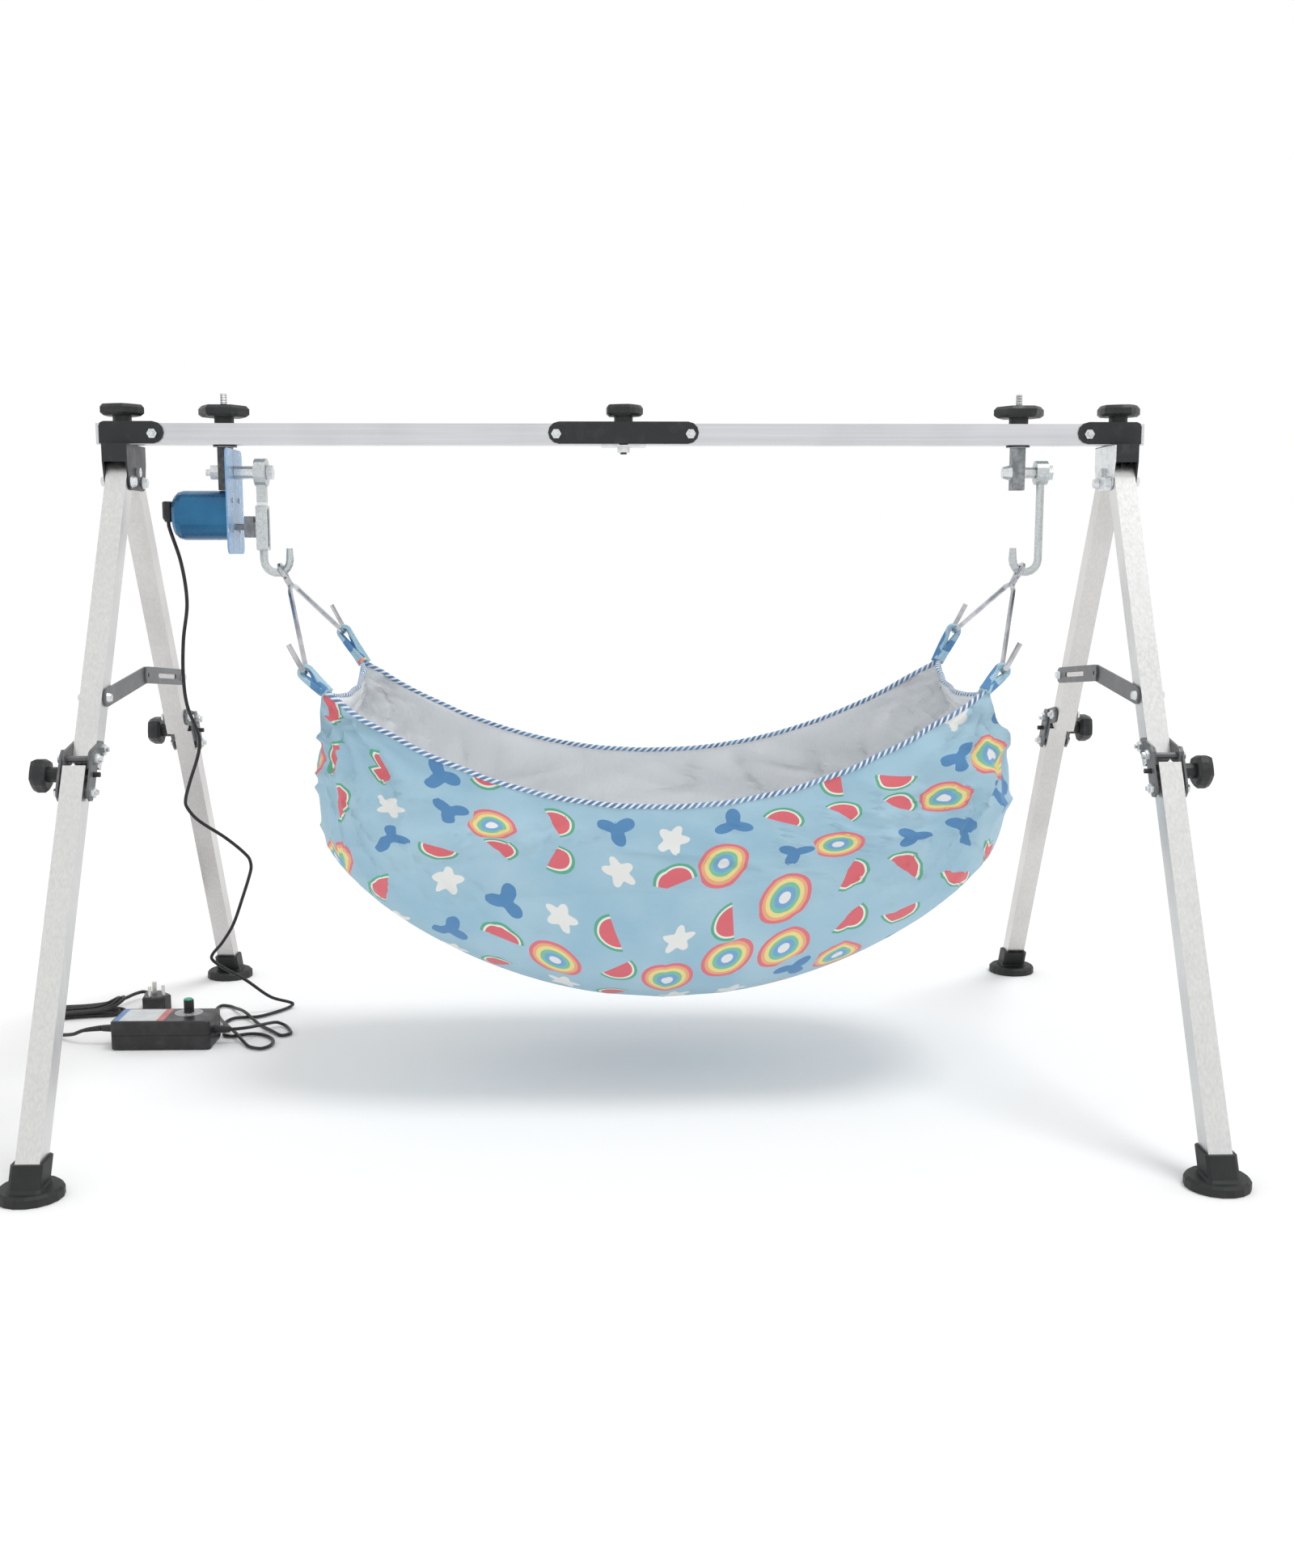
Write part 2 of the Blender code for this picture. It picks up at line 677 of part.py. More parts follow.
def knuckle_lower(out):
    """Two strips on the lower leg, with the pivot and the fixing bolt."""
    outline = arc(0, PLATE_LIFT, PLATE_MARGIN, 0, 180, 4)
    outline += arc(0, -FIXING_DOWN, PLATE_MARGIN, 180, 360, 4)
    stud = circle(0, -STUD_DOWN, BOLT_R + TURN_GAP, BOLT_SIDES)
    plates = plate_pair(outline, LOWER_PLATE_IN, LOWER_PLATE_OUT, [stud])
    seat = LOWER_PLATE_OUT - GAP
    spacers = [rod("X", 0, -FIXING_DOWN, SPACER_R, UPPER_PLATE_IN, seat, FIX_SIDES),
               rod("X", 0, -FIXING_DOWN, SPACER_R, -seat, -UPPER_PLATE_IN, FIX_SIDES)]
    pivot = through_bolt(0, 0, LOWER_PLATE_OUT, out, PIVOT_BOLT_R, BOLT_SIDES)
    fixing = through_bolt(0, -FIXING_DOWN, LOWER_PLATE_OUT, out)
    return joined([plates[0], *fixing, plates[1], *spacers, *pivot])


def lobed(radius, lobes, steps):
    """A hand knob's outline: round lobes with shallow hollows between them."""
    points = []
    for i in range(lobes * steps):
        angle = 2 * math.pi * i / (lobes * steps)
        dip_share = LOBE_DEPTH_SHARE * (1 - math.cos(lobes * angle)) / 2
        points.append((radius * (1 - dip_share), angle))
    return points


def knob_head(axis, radius, lobes, base, height, way, steps=3):
    """A lobed grip standing on base, its edges softened above and below."""
    shape = lobed(radius, lobes, steps)
    sections = []
    for rise_share, size_share in ((0, 0.86), (0.22, 1), (0.72, 1), (1, 0.88)):
        ring = [(r * size_share * math.cos(a), r * size_share * math.sin(a)) for r, a in shape]
        sections.append((base + way * height * rise_share, ring))
    return loft(axis, sections)


def knuckle_knob(out):
    """A clamping knob on the outer side, its screw across the knuckle."""
    base = out * (LOWER_PLATE_OUT + GAP)
    neck = base + out * KNUCKLE_STEM_H
    head = knob_head("X", KNUCKLE_KNOB_R, CORNER_LOBES, neck, KNUCKLE_KNOB_H, out)
    stem = rod("X", 0, 0, KNUCKLE_STEM_R, *sorted((base, neck + out * GAP)), STEM_SIDES)
    screw_end = -out * (LOWER_PLATE_OUT + SCREW_PROUD)
    screw = rod("X", 0, 0, BOLT_R, *sorted((screw_end, base + out * GAP)))
    return joined([head, stem, screw])


def spreader_link(out, layer):
    """One of a pair of links: layer 0 lies on the leg, layer 1 beside the other."""
    inner = HALF_TUBE + GAP + layer * (PLATE + GAP)
    outer = inner + PLATE
    low, high = sorted((-out * inner, -out * outer))
    outline = stadium(0, SPREADER_LEN, 0, PLATE_MARGIN, 4)
    if layer:
        slot = stadium(SPREADER_LEN * SLOT_SHARES[0], SPREADER_LEN * SLOT_SHARES[1], 0, BOLT_R, 3)
        eye = circle(SPREADER_LEN, 0, BOLT_R, BOLT_SIDES)
        strip = prism("X", outline, low, high, [slot, eye])
    else:
        strip = prism("X", outline, low, high)
    parts = [strip]
    if layer:
        spacer_end = -out * (outer - GAP)
        parts.append(rod("X", 0, 0, SPACER_R, *sorted((-out * UPPER_PLATE_IN, spacer_end))))
    else:
        parts.append(dome("X", SPREADER_LEN, 0, SPACER_R, RIVET_H, -out * (inner + GAP), out))
    head_base = out * (HALF_TUBE + GAP)
    shank = rod("X", 0, 0, BOLT_R, *sorted((head_base + out * GAP, -out * (outer + GAP))))
    head = dome("X", 0, 0, BOLT_HEAD_R, BOLT_HEAD_H, head_base, out)
    cap = dome("X", 0, 0, BOLT_HEAD_R, BOLT_HEAD_H + GAP, -out * (outer - GAP), -out)
    return joined([*parts, cap, shank, head])


def build_legs():
    for side, sign in (("left", -1), ("right", 1)):
        for end, turn in (("front", 0.0), ("back", math.pi)):
            out = sign if end == "front" else -sign
            tag = f"{end}_{side}"
            across = -PIVOT_Y if end == "front" else PIVOT_Y
            leg = marker(f"leg_axis_{tag}", None, (sign * CORNER_X, across, PIVOT_Z),
                         (-LEG_ANGLE, 0, turn))
            node(upper_leg(), f"upper_leg_{tag}", "aluminium", leg)
            knuckle = marker(f"knuckle_axis_{tag}", leg, (0, -LEG_STEP, -KNUCKLE_S))
            node(lower_leg(), f"lower_leg_{tag}", "aluminium", knuckle)
            node(foot(), f"foot_{tag}", "rubber", knuckle,
                 (0, 0, KNUCKLE_S - FOOT_S), (LEG_ANGLE, 0, 0))
            node(knuckle_upper(out), f"knuckle_hook_{tag}", "grey_steel", leg,
                 (0, -LEG_STEP, -KNUCKLE_S))
            node(knuckle_lower(out), f"knuckle_strap_{tag}", "grey_steel", knuckle)
            node(knuckle_knob(out), f"knuckle_knob_{tag}", "black_plastic", knuckle,
                 (0, 0, -STUD_DOWN))
            layer = 0 if end == "front" else 1
            node(spreader_link(out, layer), f"spreader_link_{tag}", "grey_steel", leg,
                 (0, 0, -SPREADER_DOWN), (LEG_ANGLE + SPREADER_LIFT, 0, 0))


# Top bar, brackets, saddles and hand knobs

BAR_BASE = BAR_TOP - TUBE
BAR_MID = BAR_TOP - HALF_TUBE
BRACKET_HALF = HALF_TUBE + GAP + SHEET
BRACKET_TOP = BAR_TOP + GAP + SHEET
SADDLE_HALF = HALF_TUBE + SADDLE_FIT + SADDLE_SHEET
SADDLE_Y = PIVOT_Y + HALF_TUBE + SADDLE_SWING + SADDLE_SHEET
WEB_TOP = BAR_BASE - GAP


def half_bar(sign):
    """One half of the bar, measured from the middle of the frame, at its height."""
    low, high = sorted((sign * BAR_JOINT / 2, sign * BAR_HALF))
    cuts = [fixing_hole("Y", sign * CENTRE_BOLT_X, 0, HALF_TUBE),
            fixing_hole("Y", sign * CORNER_BOLT_X, 0, HALF_TUBE),
            hole("Z", sign * HANGER_X, 0, ROD_R, HALF_TUBE, GAP),
            hole("Z", sign * CORNER_X, 0, STUD_R, HALF_TUBE)]
    return joined([square_tube("X", low, high)], cuts)


def bracket_bolt(x, reach):
    """A hexagon bolt from back to front, its nut toward the viewer."""
    nut = -reach - BOLT_HEAD_H
    return [rod("Y", x, 0, BOLT_R, nut - BOLT_TIP, reach + GAP, FIX_SIDES),
            rod("Y", x, 0, BOLT_HEAD_R, reach - GAP, reach + BOLT_HEAD_H, HEX),
            rod("Y", x, 0, BOLT_HEAD_R, nut, GAP - reach, HEX)]


def channel(outline, bolts, stud_x):
    """A sheet folded over the bar: an outline in XZ, cut to a channel, with its bolts."""
    block = prism("Y", outline, -BRACKET_HALF, BRACKET_HALF)
    low = min(x for x, z in outline) - CUT_OVERRUN
    high = max(x for x, z in outline) + CUT_OVERRUN
    side = HALF_TUBE + GAP
    room = box((low, high), (-side, side), (-TUBE, HALF_TUBE + GAP))
    stud = rod("Z", stud_x, 0, STUD_R + TURN_GAP, 0, TUBE)
    shell = joined([block], [room, stud])
    return joined([shell, *[piece for x in bolts for piece in bracket_bolt(x, BRACKET_HALF)]])


def corner_bracket(sign):
    """Measured from the bar's middle height at the corner stud."""
    top = BRACKET_TOP - BAR_MID
    base = top - CORNER_H
    half = CORNER_H / 2
    inner = arc(half - CORNER_IN, base + half, half, 90, 270, 6)
    outer = arc(CORNER_OUT - CORNER_ROUND, top - CORNER_ROUND, CORNER_ROUND, 0, 90, 2)
    outline = [(sign * x, z) for x, z in [*inner, (CORNER_OUT, base), *outer]]
    return channel(outline, [sign * (CORNER_BOLT_X - CORNER_X)], 0)


def centre_bracket():
    """Measured from the bar's middle height, in the middle of the frame."""
    half = CENTRE_H / 2
    middle = BRACKET_TOP - BAR_MID - half
    outline = stadium(half - CENTRE_HALF, CENTRE_HALF - half, middle, half, 6)
    return channel(outline, [-CENTRE_BOLT_X, CENTRE_BOLT_X], 0)


def centre_clamp():
    """The plate under the joint, with the nut for the knob's stud."""
    top = BAR_BASE - GAP
    plate = prism("Z", rounded((-CLAMP_X / 2, CLAMP_X / 2), (-CLAMP_Y / 2, CLAMP_Y / 2), SHEET, 2),
                  top - SHEET, top)
    nut = rod("Z", 0, 0, NUT_R, top - SHEET - NUT_H, top - SHEET + GAP, HEX)
    stud = rod("Z", 0, 0, STUD_R + TURN_GAP, top - TUBE, top + CUT_OVERRUN)
    return joined([plate, nut], [stud])


def hand_knob(radius, lobes, stem_radius, stud_end):
    """A lobed knob with its stem; a stud down to stud_end, measured from the stem's foot."""
    head = knob_head("Z", radius, lobes, KNOB_STEM_H, KNOB_HEAD_H, 1)
    stem = rod("Z", 0, 0, stem_radius, 0, KNOB_STEM_H + GAP, STEM_SIDES)
    stud = rod("Z", 0, 0, STUD_R, stud_end, GAP)
    return joined([head, stem, stud])


def saddle(sign):
    """A folded box under the bar that carries both leg pivots, in world height."""
    side_base = BAR_BASE - SADDLE_SIDE_DOWN
    flange_base = BAR_BASE - SADDLE_FLANGE_DOWN
    outline = [(SADDLE_Y, WEB_TOP), (-SADDLE_Y, WEB_TOP), (-SADDLE_Y, flange_base)]
    outline += arc(-PIVOT_Y, side_base + SADDLE_ROUND, SADDLE_ROUND, 180, 270, 3)
    outline += arc(PIVOT_Y, side_base + SADDLE_ROUND, SADDLE_ROUND, 270, 360, 3)
    outline.append((SADDLE_Y, flange_base))
    block = prism("X", outline, -SADDLE_HALF, SADDLE_HALF)
    inner_x = SADDLE_HALF - SADDLE_SHEET
    inner_y = SADDLE_Y - SADDLE_SHEET
    low = side_base - CUT_OVERRUN
    beyond = SADDLE_Y + CUT_OVERRUN
    room = box((-inner_x, inner_x), (-inner_y, inner_y), (low, WEB_TOP - SADDLE_SHEET))
    mouth = box((-inner_x, inner_x), (-beyond, beyond), (low, flange_base))
    shell = joined([block], [room, mouth])
    parts = [shell]
    for y in (-PIVOT_Y, PIVOT_Y):
        parts.append(rod("X", y, PIVOT_Z, PIVOT_BOLT_R, -SADDLE_HALF - GAP, SADDLE_HALF + GAP))
        for way in (-1, 1):
            parts.append(dome("X", y, PIVOT_Z, PIVOT_HEAD_R, PIVOT_HEAD_H,
                              way * (SADDLE_HALF - GAP), way, BOLT_SIDES))
    pin_z = PIVOT_Z + (PIVOT_Y * math.cos(LEG_ANGLE) - HALF_TUBE - STOP_PIN_R - GAP) / math.sin(LEG_ANGLE)
    reach = SADDLE_HALF + GAP
    parts.append(rod("X", 0, pin_z, STOP_PIN_R, -reach, reach, FIX_SIDES))
    for way in (-1, 1):
        parts.append(rod("X", 0, pin_z, BOLT_HEAD_R, *sorted((way * (SADDLE_HALF - GAP),
                         way * (SADDLE_HALF + BOLT_HEAD_H))), HEX))
    web_base = WEB_TOP - SADDLE_SHEET
    parts.append(rod("Z", 0, 0, NUT_R, web_base - NUT_H, web_base + GAP, HEX))
    stud = rod("Z", 0, 0, STUD_R + TURN_GAP, web_base - NUT_H - CUT_OVERRUN, WEB_TOP + CUT_OVERRUN)
    return joined(parts, [stud])


def build_top():
    node(centre_bracket(), "centre_bracket", "black_steel", None, (0, 0, BAR_MID))
    node(centre_clamp(), "centre_clamp", "zinc")
    knob_base = BRACKET_TOP + GAP
    clamp_end = BAR_BASE - GAP - SHEET - NUT_H - STUD_PROUD
    node(hand_knob(CENTRE_KNOB_R, CORNER_LOBES, KNOB_STEM_R, clamp_end - knob_base),
         "centre_knob", "black_plastic", None, (0, 0, knob_base))
    nut_end = WEB_TOP - SADDLE_SHEET - NUT_H - STUD_PROUD
    for side, sign in (("left", -1), ("right", 1)):
        x = sign * CORNER_X
        node(half_bar(sign), f"half_bar_{side}", "aluminium", None, (0, 0, BAR_MID))
        node(corner_bracket(sign), f"corner_bracket_{side}", "black_steel", None, (x, 0, BAR_MID))
        node(saddle(sign), f"saddle_{side}", "black_steel", None, (x, 0, 0))
        node(hand_knob(CORNER_KNOB_R, CORNER_LOBES, KNOB_STEM_R, nut_end - knob_base),
             f"corner_knob_{side}", "black_plastic", None, (x, 0, knob_base))


# Hangers, swing arms and the drive. Their pieces are measured from the axle at
# the hanger's rod, with X to the right on both sides.

AXLE_Z = BAR_BASE - AXLE_DROP
HOOK_BASE = AXLE_Z - HOOK_DOWN
MOTOR_Z = AXLE_Z - MOTOR_DOWN
SHAFT_Z = AXLE_Z - SHAFT_DOWN
SOCKET_Z = AXLE_Z - SOCKET_DOWN
BLOCK_TOP = BAR_BASE - BLOCK_TOP_DROP
HALF_BLOCK = BLOCK / 2


def hanger_rod(axle):
    """A threaded rod through the bar, its washer, and a block with the arm's axle."""
    top = BLOCK_TOP - AXLE_Z
    washer_top = BAR_BASE - GAP - AXLE_Z
    block = box((-HALF_BLOCK, HALF_BLOCK), (-HALF_BLOCK, HALF_BLOCK), (top - BLOCK_LEN, top))
    washer = rod("Z", 0, 0, WASHER_R, top - GAP, washer_top, WASHER_SIDES)
    screw = rod("Z", 0, 0, ROD_R, top - HALF_BLOCK / 2, ROD_TOP - AXLE_Z)
    return joined([block, washer, screw, *axle])


def hanger_knob():
    """A wide lobed nut that runs on the rod above the bar."""
    head = knob_head("Z", HANGER_KNOB_R, HANGER_LOBES, HANGER_STEM_H, KNOB_HEAD_H, 1, 3)
    stem = rod("Z", 0, 0, HANGER_STEM_R, 0, HANGER_STEM_H + GAP, STEM_SIDES)
    return joined([head, stem], [hole("Z", 0, 0, ROD_R, ROD_TOP - BAR_TOP)])


def axle_left():
    """A bolt from a nut behind the block to its head beyond the arm's eye."""
    back = -HALF_BLOCK + GAP
    bearing = LEFT_ARM_X + ARM_EYE_X / 2 + GAP
    sleeve = (HALF_BLOCK + PLATE_X + 2 * GAP, LEFT_ARM_X - ARM_EYE_X / 2 - GAP)
    return [rod("X", 0, 0, AXLE_R, back - AXLE_NUT_H - AXLE_TIP, bearing + GAP),
            rod("X", 0, 0, AXLE_NUT_R, back - AXLE_NUT_H, back, HEX),
            rod("X", 0, 0, SLEEVE_R, *sleeve, STEM_SIDES),
            rod("X", 0, 0, AXLE_HEAD_R, bearing, bearing + AXLE_HEAD_H, HEX)]


def axle_right():
    """A round-headed bolt through the block, with a sleeve and a nut beyond the eye."""
    bearing = RIGHT_ARM_X + FREE_EYE_X / 2 + GAP
    sleeve = (HALF_BLOCK - GAP, RIGHT_ARM_X - FREE_EYE_X / 2 - GAP)
    return [rod("X", 0, 0, AXLE_R, 0, bearing + FREE_NUT_H + GAP),
            dome("X", 0, 0, AXLE_CAP_R, AXLE_CAP_H, GAP - HALF_BLOCK, -1),
            rod("X", 0, 0, FREE_SLEEVE_R, *sleeve, STEM_SIDES),
            rod("X", 0, 0, AXLE_CAP_R, bearing, bearing + FREE_NUT_H, HEX)]


def hook_bend(arm_x, way, top, rod_radius):
    """The round bar of a hook: down from top, round a half turn, and up to its tip."""
    centre_z = HOOK_BASE - AXLE_Z + rod_radius + HOOK_BEND_R
    points = [(arm_x, 0, top), (arm_x, 0, centre_z)]
    steps = 9
    for i in range(1, steps + 1):
        angle = math.pi * i / steps
        points.append((arm_x + way * HOOK_BEND_R * (1 - math.cos(angle)), 0,
                       centre_z - HOOK_BEND_R * math.sin(angle)))
    points.append((arm_x + way * 2 * HOOK_BEND_R, 0, centre_z + HOOK_TIP))
    return pipe(points, rod_radius, HOOK_SIDES, [*[1] * (len(points) - 1), 0.8])


def arm_eye(arm_x, radius, thick):
    return rod("X", 0, 0, radius, arm_x - thick / 2, arm_x + thick / 2, 16)


def driven_arm():
    """The left arm: an eye, a neck, a slotted block for the crank's pin, and the hook."""
    half = ARM_SLOT_BLOCK_X / 2
    neck = prism("X", [(-ARM_EYE_R * NECK_TOP_SHARE, 0), (-ARM_NECK_Y / 2, -ARM_EYE_R),
                       (-ARM_NECK_Y / 2, -ARM_NECK_LEN - GAP),
                       (ARM_NECK_Y / 2, -ARM_NECK_LEN - GAP),
                       (ARM_NECK_Y / 2, -ARM_EYE_R), (ARM_EYE_R * NECK_TOP_SHARE, 0)],
                 LEFT_ARM_X - ARM_NECK_X / 2, LEFT_ARM_X + ARM_NECK_X / 2)
    top = -ARM_NECK_LEN
    base = top - SLOT_BLOCK_LEN
    width = SLOT_BLOCK_Y / 2
    block = prism("X", rounded((-width, width), (base, top), SLOT_BLOCK_ROUND, 2),
                  LEFT_ARM_X - half, LEFT_ARM_X + half)
    slot_half = SLOT_BLOCK_LEN / 2 - SLOT_BLOCK_ROUND
    middle = (top + base) / 2
    slot = prism("X", [(v, u) for u, v in stadium(middle - slot_half + SLOT_R,
                                                  middle + slot_half - SLOT_R, 0, SLOT_R, 4)],
                 LEFT_ARM_X - half - CUT_OVERRUN, LEFT_ARM_X + half + CUT_OVERRUN)
    hook = hook_bend(LEFT_ARM_X, 1, base + SLOT_BLOCK_ROUND / 2, HOOK_ROD_R)
    eye = arm_eye(LEFT_ARM_X, ARM_EYE_R, ARM_EYE_X)
    bore = hole("X", 0, 0, AXLE_R, 2 * LEFT_ARM_X)
    return joined([eye, neck, block, hook], [slot, bore])


def free_arm():
    """The right arm: a plain forged eye on a hook of round bar."""
    eye = arm_eye(RIGHT_ARM_X, FREE_EYE_R, FREE_EYE_X)
    hook = hook_bend(RIGHT_ARM_X, -1, -FREE_EYE_R / 2, HOOK_ROD_R)
    return joined([eye, hook], [hole("X", 0, 0, AXLE_R, 2 * RIGHT_ARM_X)])


def motor_plate():
    """The upright plate that carries the motor, with holes for the axle and the shaft."""
    start = HALF_BLOCK + GAP
    outline = rounded((-PLATE_Y / 2, PLATE_Y / 2), (PLATE_UP - PLATE_H, PLATE_UP), PLATE_ROUND, 2)
    cuts = [hole("X", 0, 0, AXLE_R, start + PLATE_X, GAP),
            hole("X", 0, SHAFT_Z - AXLE_Z, SHAFT_R, start + PLATE_X)]
    plate = prism("X", outline, start, start + PLATE_X)
    screws = []
    for y in (-SCREW_Y, SCREW_Y):
        for z in (MOTOR_Z - AXLE_Z - SCREW_Y, MOTOR_Z - AXLE_Z + SCREW_Y):
            face = start + PLATE_X - GAP
            screws.append(rod("X", y, z, BOLT_R, face, face + SCREW_HEAD_H))
    return joined([plate, *screws], cuts)


def motor_housing():
    """A drum with a round rear edge and a socket for the lead's plug."""
    face = HALF_BLOCK
    rear = face - MOTOR_LEN
    profile = [(rear, MOTOR_R - MOTOR_ROUND)]
    for i in range(1, 4):
        angle = math.pi / 2 * i / 3
        profile.append((rear + MOTOR_ROUND * (1 - math.cos(angle)),
                        MOTOR_R - MOTOR_ROUND * (1 - math.sin(angle))))
    profile.append((face, MOTOR_R))
    drum = turned("X", 0, MOTOR_Z - AXLE_Z, profile, 32)
    shaft = rod("X", 0, SHAFT_Z - AXLE_Z, SHAFT_R + TURN_GAP, face - SHAFT_WELL, face + CUT_OVERRUN)
    socket = rod("X", 0, SOCKET_Z - AXLE_Z, SOCKET_R, rear - CUT_OVERRUN, rear + SOCKET_DEEP)
    return joined([drum], [shaft, socket])


def drive_crank():
    """The output shaft with its crank block, measured from the shaft's axis."""
    start = HALF_BLOCK - SHAFT_WELL + GAP
    shaft = rod("X", 0, 0, SHAFT_R, start, CRANK_X[0] + GAP)
    block = prism("X", rounded((-CRANK_Y / 2, CRANK_Y / 2), (-CRANK_H / 2, CRANK_H / 2),
                               SLOT_BLOCK_ROUND, 2), *CRANK_X)
    pin_end = LEFT_ARM_X - ARM_SLOT_BLOCK_X / 2 - TURN_GAP
    pin = rod("X", 0, CRANK_THROW, CRANK_PIN_R, CRANK_X[1] - GAP, pin_end)
    return joined([block, shaft, pin])


def build_hangers():
    knob_base = BAR_TOP + GAP
    for side, sign, axle in (("left", -1, axle_left()), ("right", 1, axle_right())):
        x = sign * HANGER_X
        node(hanger_rod(axle), f"hanger_rod_{side}", "zinc", None, (x, 0, AXLE_Z))
        node(hanger_knob(), f"hanger_knob_{side}", "black_plastic", None, (x, 0, knob_base))
    left = marker("swing_axis_left", None, (-HANGER_X, 0, AXLE_Z))
    right = marker("swing_axis_right", None, (HANGER_X, 0, AXLE_Z))
    node(driven_arm(), "hook_arm_left", "zinc", left)
    node(free_arm(), "hook_arm_right", "zinc", right)
    node(motor_plate(), "motor_plate", "clear_blue", None, (-HANGER_X, 0, AXLE_Z))
    node(motor_housing(), "motor_housing", "blue_plastic", None, (-HANGER_X, 0, AXLE_Z))
    node(drive_crank(), "drive_crank", "grey_steel", None, (-HANGER_X, 0, SHAFT_Z))


# Wire hangers and the sling. All of them sway together about one axis along X,
# through the points where the wires hang in the hooks.

BEND_Z = HOOK_BASE + HOOK_ROD_R + HOOK_BEND_R
SWAY_Z = BEND_Z - HOOK_BEND_R * math.cos(WIRE_TILT)
LEFT_HOOK_X = -HANGER_X + LEFT_ARM_X + HOOK_BEND_R
RIGHT_HOOK_X = HANGER_X + RIGHT_ARM_X - HOOK_BEND_R
WIRE_X = {-1: LEFT_HOOK_X + HOOK_BEND_R * math.sin(WIRE_TILT),
          1: RIGHT_HOOK_X - HOOK_BEND_R * math.sin(WIRE_TILT)}
WIRE_BASE = WIRE_DROP + WIRE_BEND_R
SLING_MID = (WIRE_X[-1] + WIRE_X[1]) / 2 + SLING_SHIFT
SLING_HALF = (WIRE_X[1] - WIRE_X[-1]) / 2 - SLING_END_IN
RIM_Z = HOOK_BASE - RIM_DOWN
SLING_BASE = HOOK_BASE - SLING_DOWN


def wire_frame(sign):
    """Where a wire hanger's own frame lies: -Z down its leaning plane, Y across."""
    place = Matrix.Translation((WIRE_X[sign], 0, SWAY_Z))
    return place @ Matrix.Rotation(WIRE_ROLL, 4, "X") @ Matrix.Rotation(sign * WIRE_TILT, 4, "Y")


def wire_half():
    """One half of the wire, from below its loop to its tip, as Y and Z."""
    kink = (WIRE_SHOULDER_Y, -WIRE_SHOULDER_Z)
    centre = (WIRE_ARM_Y, -WIRE_DROP)
    reach = math.hypot(centre[0] - kink[0], centre[1] - kink[1])
    back = math.degrees(math.atan2(kink[1] - centre[1], kink[0] - centre[0]))
    start = back + math.degrees(math.acos(WIRE_BEND_R / reach))
    points = [(WIRE_NECK_Y, -WIRE_NECK_Z),
              (WIRE_NECK_Y + WIRE_R / 2, -WIRE_NECK_Z - WIRE_R)]
    points += [(kink[0] - WIRE_R, kink[1] + WIRE_R / 2), kink]
    bend = arc(*centre, WIRE_BEND_R, start, 360, 4)
    first = bend[0]
    run = math.hypot(first[0] - kink[0], first[1] - kink[1])
    ease = WIRE_R / run
    points.append((kink[0] + (first[0] - kink[0]) * ease, kink[1] + (first[1] - kink[1]) * ease))
    points += bend
    points.append((WIRE_ARM_Y + WIRE_BEND_R, -WIRE_DROP + WIRE_TIP))
    return points


def wire_hanger():
    """One bent wire: a loop for the hook, two necks, two arms and two end hooks."""
    half = wire_half()
    lean = math.degrees(math.asin(WIRE_NECK_Y / WIRE_LOOP_R))
    loop = arc(0, 0, WIRE_LOOP_R, lean - 90, 270 - lean, 9)
    path = list(reversed(half)) + loop + [(-y, z) for y, z in half]
    return pipe([(0, y, z) for y, z in path], WIRE_R, WIRE_SIDES)


def rim_plan():
    """The rim seen from above, once round from the front left corner, as shares and sizes."""
    points = []
    corner = math.radians(CORNER_TURN)
    for side in (-1, 1):
        for i in range(SIDE_STEPS):
            share = 2 * i / SIDE_STEPS - 1
            bulge = SLING_END_Y + (SLING_MID_Y - SLING_END_Y) * (1 - share * share)
            angle = math.pi + corner + (math.pi - 2 * corner) * i / SIDE_STEPS
            points.append((-side * share * SLING_HALF, side * bulge, angle + (side + 1) * math.pi / 2))
        for i in range(END_STEPS):
            share = 2 * i / END_STEPS - 1
            bow = SLING_END_BOW * (1 - share * share)
            angle = -corner + 2 * corner * i / END_STEPS
            points.append((-side * (SLING_HALF - bow), -side * share * SLING_END_Y,
                           angle + (side + 1) * math.pi / 2))
    return points


def power(value, exponent):
    return math.copysign(abs(value) ** exponent, value)


def sling_ring(depth, inset, lift):
    """One ring of the bowl, at its share of the way down, drawn in by inset."""
    along_share = (1 - depth ** END_POWER) ** (1 / END_POWER)
    across_share = (1 - depth ** SIDE_POWER) ** (1 / SIDE_POWER)
    blend = min(1, depth / ROUND_DEPTH_SHARE)
    ring = []
    for count, (x, y, angle) in enumerate(rim_plan()):
        round_x = SLING_HALF * power(math.cos(angle), 2 / PLAN_POWER)
        round_y = SLING_MID_Y * power(math.sin(angle), 2 / PLAN_POWER)
        pleat = PLEAT * (1 if count % 2 else -1) * (1 - depth)
        reach_x = (x + (round_x - x) * blend) * (1 - (inset + pleat) / SLING_HALF)
        reach_y = (y + (round_y - y) * blend) * (1 - (inset + pleat) / SLING_MID_Y)
        end_share = abs(x) / SLING_HALF
        rim = RIM_Z + RIM_RISE * end_share ** RIM_POWER + RIM_LEAN * y / SLING_MID_Y
        rim -= END_DIP * end_share ** 8 * max(0, 1 - (y / SLING_END_Y) ** 2)
        local_x = reach_x * along_share * (1 + SLING_BULGE / SLING_HALF * blend)
        floor = SLING_BASE + FLOOR_RISE * (local_x / SLING_HALF) ** 2 + lift
        ring.append((SLING_MID + SLING_DRIFT * blend + local_x, reach_y * across_share,
                     rim + (floor - rim) * depth))
    return ring


